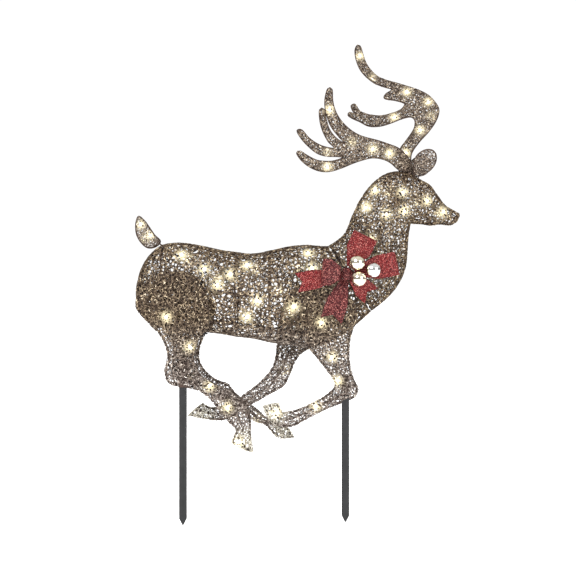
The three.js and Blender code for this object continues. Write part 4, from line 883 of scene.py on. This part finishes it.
def body_lights():
    L = Lights()
    bases = {}
    for side, spots in ((NEAR, NEAR_TORSO), (FAR, FAR_TORSO)):
        row = []
        for x, z in spots:
            y = depth_at(torsoG, side, x, z)
            L.lamp(P(x, side * (y + 0.6), z), P(0, side, 0), 12.2, painted_glow=8, size=1.25)
            row.append(P(x, side * (y - 16), z))
        L.lead(row)
        bases[side] = row
    near, far = bases[NEAR], bases[FAR]
    L.lead([near[2], P(-140, 0, 400), far[1]])
    L.lead([P(-140, 0, 400), P(-150, 12, 350), P(-150, 22, 329)])
    L.lead([far[4], P(120, 20, 440), seat(0.5, -13, 14)])
    L.block(seat(0.5, -9, 14), PULL, (10, 9, 14))
    L.lead([far[0], P(-225, 14, 490)])
    L.block(P(-228, 12, 489), TAIL_PULL, (8, 8, 12))
    hubs = {"hind_near": near[2], "hind_far": far[1], "front_near": near[7], "front_far": far[5]}
    for k, (start, spots, shift) in LEG_LIGHTS.items():
        G, side, inner = legG[k], LEGS[k][1], LEGS[k][5]
        run = []
        for i in range(start, len(G)):
            q = G[i][0] + (G[i][4] - G[i][0]) * ((0.5 + shift[i]) if i in shift else 0.36)
            q[1] = G[i][0][1] + side * (4.1 if i < inner else 0.4)
            run.append(q)
        L.lead(run)
        L.lead([run[0], P(run[0][0], side * 48, run[0][2]), hubs[k]])
        for i in spots:
            q = run[i - start]
            y = depth_at(G * P(1, side, 1), 1, q[0], q[2])
            L.lamp(P(q[0], side * (y + 0.8), q[2]), P(0, side, 0), 3.5, painted_glow=7.5, size=1.2)
    L.done("body", "torso", "light_string_body")


HEAD_NEAR = [(240, 600), (262, 640), (288, 583), (326, 634), (331, 590), (385, 615), (425, 590), (250, 520),
             (265, 470)]
HEAD_FAR = [(245, 605), (300, 640), (370, 620), (420, 588), (255, 530)]


def head_lights():
    L = Lights()
    bases = {}
    for side, spots in ((NEAR, HEAD_NEAR), (FAR, HEAD_FAR)):
        row = []
        for x, z in spots:
            y = depth_at(headG, side, x, z)
            deep = min(14, y - 4)
            L.lamp(P(x, side * (y + 0.6), z), P(0, side, 0), deep - 4, painted_glow=7.5)
            row.append(P(x, side * (y - deep), z))
        bases[side] = row
    n, f = bases[NEAR], bases[FAR]
    L.lead([n[i] for i in (8, 7, 0, 1, 2, 4, 3, 5, 6)])
    L.lead([f[i] for i in (4, 0, 1, 2, 3)])
    L.lead([n[3], f[1]])
    L.lead([f[4], seat(0.5, 26, 16), seat(0.5, 10, 14)])
    L.block(seat(0.5, 6.2, 14), PULL, (10, 9, 14))
    for k, u, hub in (("near", 346, n[3]), ("far", 358, f[1])):
        a = antlers[k]
        low = a.put(u, -13)
        L.lead([hub, a.put(u, -24), low])
        L.block(low, a.put(u, 1) - a.put(u, 0), (7, 7, 12))
    L.done("neck_head", "neck_head", "light_string_neck_head")


ANTLER_LIGHTS = {
    "near": (346, [(296, 729), (256, 739), (150, 731), (149, 698), (152, 826), (207, 753)],
             [[(336, 696), (322, 712), (296, 729), (256, 739), (227, 742), (207, 753), (188, 771),
               (170, 793), (158, 812), (152, 826)],
              [(227, 742), (213, 727), (198, 715), (179, 704), (149, 698)],
              [(227, 742), (200, 732), (172, 730), (150, 731)]]),
    "far": (358, [lean_back(p)
                  for p in ((338, 730), (372, 785), (398, 822), (391, 852), (340, 876), (258, 913),
                            (228, 962), (310, 815))],
            [[lean_back(p) for p in run]
             for run in ([(346, 696), (337, 728), (352, 757), (372, 785), (390, 806), (398, 822),
                          (391, 852), (340, 876), (290, 898), (258, 913), (241, 930), (228, 962)],
             [(398, 822), (374, 826), (340, 828), (310, 815)])]),
}


def antler_lights():
    for k, (plug, spots, runs) in ANTLER_LIGHTS.items():
        a, L = antlers[k], Lights()
        out = a.put(0, 0, 1) - a.put(0, 0, 0)
        for run in runs:
            L.lead([a.at(x, z) for x, z in run])
        for i, (x, z) in enumerate(spots):
            face = -1 if i % 3 == 2 and k == "near" else 1
            face = face if k == "near" else (-1 if i % 3 != 2
                else 1)  # most lamps turn to the side that is seen
            L.lamp(a.at(x, z, face * 6.6), out * face, 3.0, painted_glow=6.5, size=0.9)
        L.block(a.put(plug - 12, 2.2), a.put(0, 1) - a.put(0, 0), (7, 7, 12))
        L.done("antler_" + k, "antler_" + k, "light_string_antler_" + k)


def tail_lights():
    L = Lights()
    L.lead([P(-268, 5, 524), P(-275, 5, 534), P(-290, 5, 550), P(-297, 5, 560)])
    L.lead([P(-268, 5, 524), P(-289, 5, 527)])
    for x, z, side in ((-275, 534, -1), (-297, 560, -1), (-289, 527, 1)):
        L.lamp(P(x, side * 8.4, z), P(0, side, 0), 3.0, painted_glow=6.5, size=0.9)
    L.done("tail", "tail", "light_string_tail")


# ------------------------------------------------------------------ nets
def nets():
    S = surface(torsoG, 6, 3, True, 2.4, (0, 3, 6.5, 8, 13))
    flank = lambda v: 0.10 + 0.35 * np.clip((330 - v[:, 2]) / 60, 0, 1)
    net("torso_net", scatter(triangles(S, close_start=True), 4.9), 4.9, 4, 1.22, flank, "torso",
        "net_brown", ["torso_cover"])
    S = surface(headG, 6, 3, True, 1.6, (0, 4, 9, 13, 18))
    net("neck_head_net", scatter(triangles(S, close_end=True), 4.0), 4.0, 4, 1.04,
        lambda v: 0.08 + 0.0 * v[:, 2], "neck_head", "net_brown", ["neck_head_cover"])
    for k in LEGS:
        S = surface(legG[k], 4, 3, False)
        hoof_x = {"hind_near": (-50, 36), "hind_far": (52, 46), "front_near": (14, 125),
                  "front_far": (-165, 112)}[k]

        def pale(v, h=hoof_x):
            shin = np.clip((330 - v[:, 2]) / 130, 0, 1)
            hoof = np.clip(1.25 - np.hypot(v[:, 0] - h[0], v[:, 2] - h[1]) / 48, 0, 1)
            return np.clip(0.12 + 0.40 * shin + 0.6 * hoof, 0, 1)

        pts = scatter(triangles(S, True, True), 3.9)
        net("leg_net_" + k, pts, 3.9, 4, 0.98, pale, "torso", "net_legs", ["leg_cover_" + k])
    for k in ("near", "far"):
        net("antler_net_" + k, antlers[k].cover_points(3.0), 3.0, 4, 0.98, lambda v: 0.24 + 0.0 * v[:, 2],
            "antler_" + k, "net_pale", ["antler_cover_" + k])
        net("ear_net_" + k, ears[k].cover_points(3.4), 3.4, 4, 0.66, lambda v: 0.30 + 0.0 * v[:, 2],
            "neck_head", "net_brown", ["ear_cover_" + k])
    net("tail_net", tail.cover_points(3.0), 3.0, 4, 0.86, lambda v: 0.42 + 0.0 * v[:, 2], "tail",
        "net_pale", ["tail_cover"])


# ------------------------------------------------------------------ bow
KNOT = P(192, -76, 441)
BOW = [
    ("bow_loop_upper", dict(angle=64, length=84, lift=8, height=15, width=58, loop=True, flare=0.25,
                            mat=RED)),
    ("bow_loop_right", dict(angle=12, length=104, lift=10, height=15, width=54, loop=True, flare=0.25,
                            mat=RED)),
    ("bow_loop_left", dict(angle=176, length=44, lift=29, height=12, width=60, loop=True, flare=0.45,
                           mat=SHADED_RED)),
    ("bow_tail_left", dict(angle=190, length=104, lift=13, rise=2, height=4, width=44, loop=False, mat=RED)),
    ("bow_tail_lower", dict(angle=251, length=100, lift=2, rise=20, height=6, width=50, loop=False,
                            mat=SHADED_RED)),
    ("bow_tail_right", dict(angle=318, length=62, lift=3, rise=6, height=6, width=46, loop=False, mat=RED)),
]


def ribbon(name, angle, length, lift, height, width, loop, mat, rise=0.0, flare=0.35, start=15.0):
    """Wired ribbon gathered at the knot: a loop or a tail with a swallow-tail cut."""
    a = math.radians(angle)
    d, p, w = P(math.cos(a), 0, math.sin(a)), P(-math.sin(a), 0, math.cos(a)), P(0, -1, 0)
    N, M = (44, 14) if loop else (30, 14)
    t = np.linspace(0, 1, N + 1)
    if loop:
        f = 0.35 + (2 * math.pi - 0.7) * t
        u = start + length * (1 - np.cos(f)) / 2
        h = lift + 0.65 * height * np.sin(f) * (1 - np.cos(f)) + (t - 0.5) * -2.4
    else:
        u = start + length * t
        h = lift + rise * t + height * np.sin(t * 5.2) * 0.5
    tu, th = np.gradient(u), np.gradient(h)
    l = np.hypot(tu, th)
    nu, nh = -th / l, tu / l
    opening = np.minimum(1, flare + (1 - flare) * ((u - start) / (length * 0.55)))
    s = np.linspace(-1, 1, M + 1)
    pleat = (1 - np.minimum(1, (u - start) / (length * 0.6)))[:, None] * np.cos(s * math.pi * 2.5)[None] * 1.3
    ripple = 0.5 * np.sin(t * 23 + angle)[:, None] * (s**2)[None] + 0.35 * np.sin(t * 51)[:, None] * s[None]
    bend = pleat + ripple
    uu = u[:, None] + nu[:, None] * bend
    if not loop:  # swallow tail: the middle of the free end stays back
        uu = uu - (np.clip((t - 0.6) / 0.4, 0, 1)[:, None] * (1 - np.abs(s))[None] * width * 0.3)
    hh = h[:, None] + nh[:, None] * bend
    vv = s[None] * (opening * width / 2)[:, None]
    mid = KNOT + uu[..., None] * d + hh[..., None] * w + vv[..., None] * p
    nrm = (nu[:, None] * d + nh[:, None] * w)[:, None, :]
    b = Build()
    top, low = mid + nrm * 0.22, mid - nrm * 0.22
    V = np.concatenate([top.reshape(-1, 3), low.reshape(-1, 3)])
    k = (N + 1) * (M + 1)
    at = lambda i, j: i * (M + 1) + j
    F = []
    for i in range(N):
        for j in range(M):
            q = [at(i, j), at(i, j + 1), at(i + 1, j + 1), at(i + 1, j)]
            F += [q, [x + k for x in q[::-1]]]
    rim = [at(i, 0) for i in range(N + 1)] + [at(N, j) for j in range(1, M + 1)] + [at(i, M)
        for i in range(N - 1, -1, -1)] + [at(0, j) for j in range(M - 1, 0, -1)]
    for i, x in enumerate(rim):
        y = rim[(i + 1) % len(rim)]
        F.append([x, x + k, y + k, y])
    b.add(V, F)
    o = piece(name + "_ribbon", *b.done(), mat, "neck_head", "ribbon", [name])
    edge = Build()
    for j in (0, M):  # the thin wire sewn into each edge
        edge.add(*tube(mid[:, j], 0.55, False, 6))
    e = piece(name + "_edge_wire", *edge.done(), mat, "neck_head", "ribbon")
    run = float(np.linalg.norm(np.diff(mid[:, M // 2], axis=0), axis=1).sum())


def bow():
    n, m = 40, 30  # knot: the ribbon wrapped round the gathers, with soft folds
    V, F = [], []
    for i in range(m + 1):
        phi = math.pi * i / m
        for j in range(n):
            th = 2 * math.pi * j / n
            fold = 1 + 0.05 * math.cos(7 * th + 2 * math.sin(3 * phi)) * math.sin(phi)
            V.append(KNOT + P(15 * math.sin(phi) * math.cos(th) * fold,
                              -4 - 11 * math.sin(phi) * math.sin(th) * fold, 15 * math.cos(phi)))
    for i in range(m):
        for j in range(n):
            F.append([i * n + j, i * n + (j + 1) % n, (i + 1) * n + (j + 1) % n, (i + 1) * n + j])
    piece("bow_knot_wrap", np.array(V), F, SHADED_RED, "neck_head", "ribbon", ["bow_knot"])
    for name, o in BOW:
        ribbon(name, **o)
    for name, c, r, color in (("upper_left", P(215, -107, 466), 18, (0.90, 0.84, 0.66)),
                              ("right", P(252, -106, 450), 17.5, (0.88, 0.88, 0.86)),
                              ("lower_left", P(218, -108, 429), 17.5, (0.84, 0.74, 0.58))):
        prof = [(r - r * math.cos(math.pi * i / 30), max(0.05, r * math.sin(math.pi * i / 30)))
                for i in range(31)]
        piece("shiny_ball_" + name, *lathe(c - P(0, r, 0), P(0, 1, 0), prof, 44),
              ball_material("ball_" + name, color), "neck_head", "ball", ["bow_ball_" + name])


# ------------------------------------------------------------------ CAD pieces that stay
def cad_looks():
    for name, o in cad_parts.items():
        if "socket" in name or "sleeve" in name:
            m = ENAMEL
        elif name.startswith("stake"):
            m = STAKE
        elif "bolt" in name or "nut" in name:
            m = ZINC
        elif name == "power_inlet":
            m = PLASTIC
        else:
            continue
        o.data.materials.clear()
        o.data.materials.append(m)


set_stage()
torso_frame()
head_frame()
for key, (_rows, side_, bolt_y_, bolt_, rings_, inner_, sleeve_) in LEGS.items():
    leg_frame(key, legG[key], side_, bolt_y_, bolt_, rings_, inner_, sleeve_)
flat_frames()
body_lights()
head_lights()
antler_lights()
tail_lights()
nets()
bow()
cad_looks()
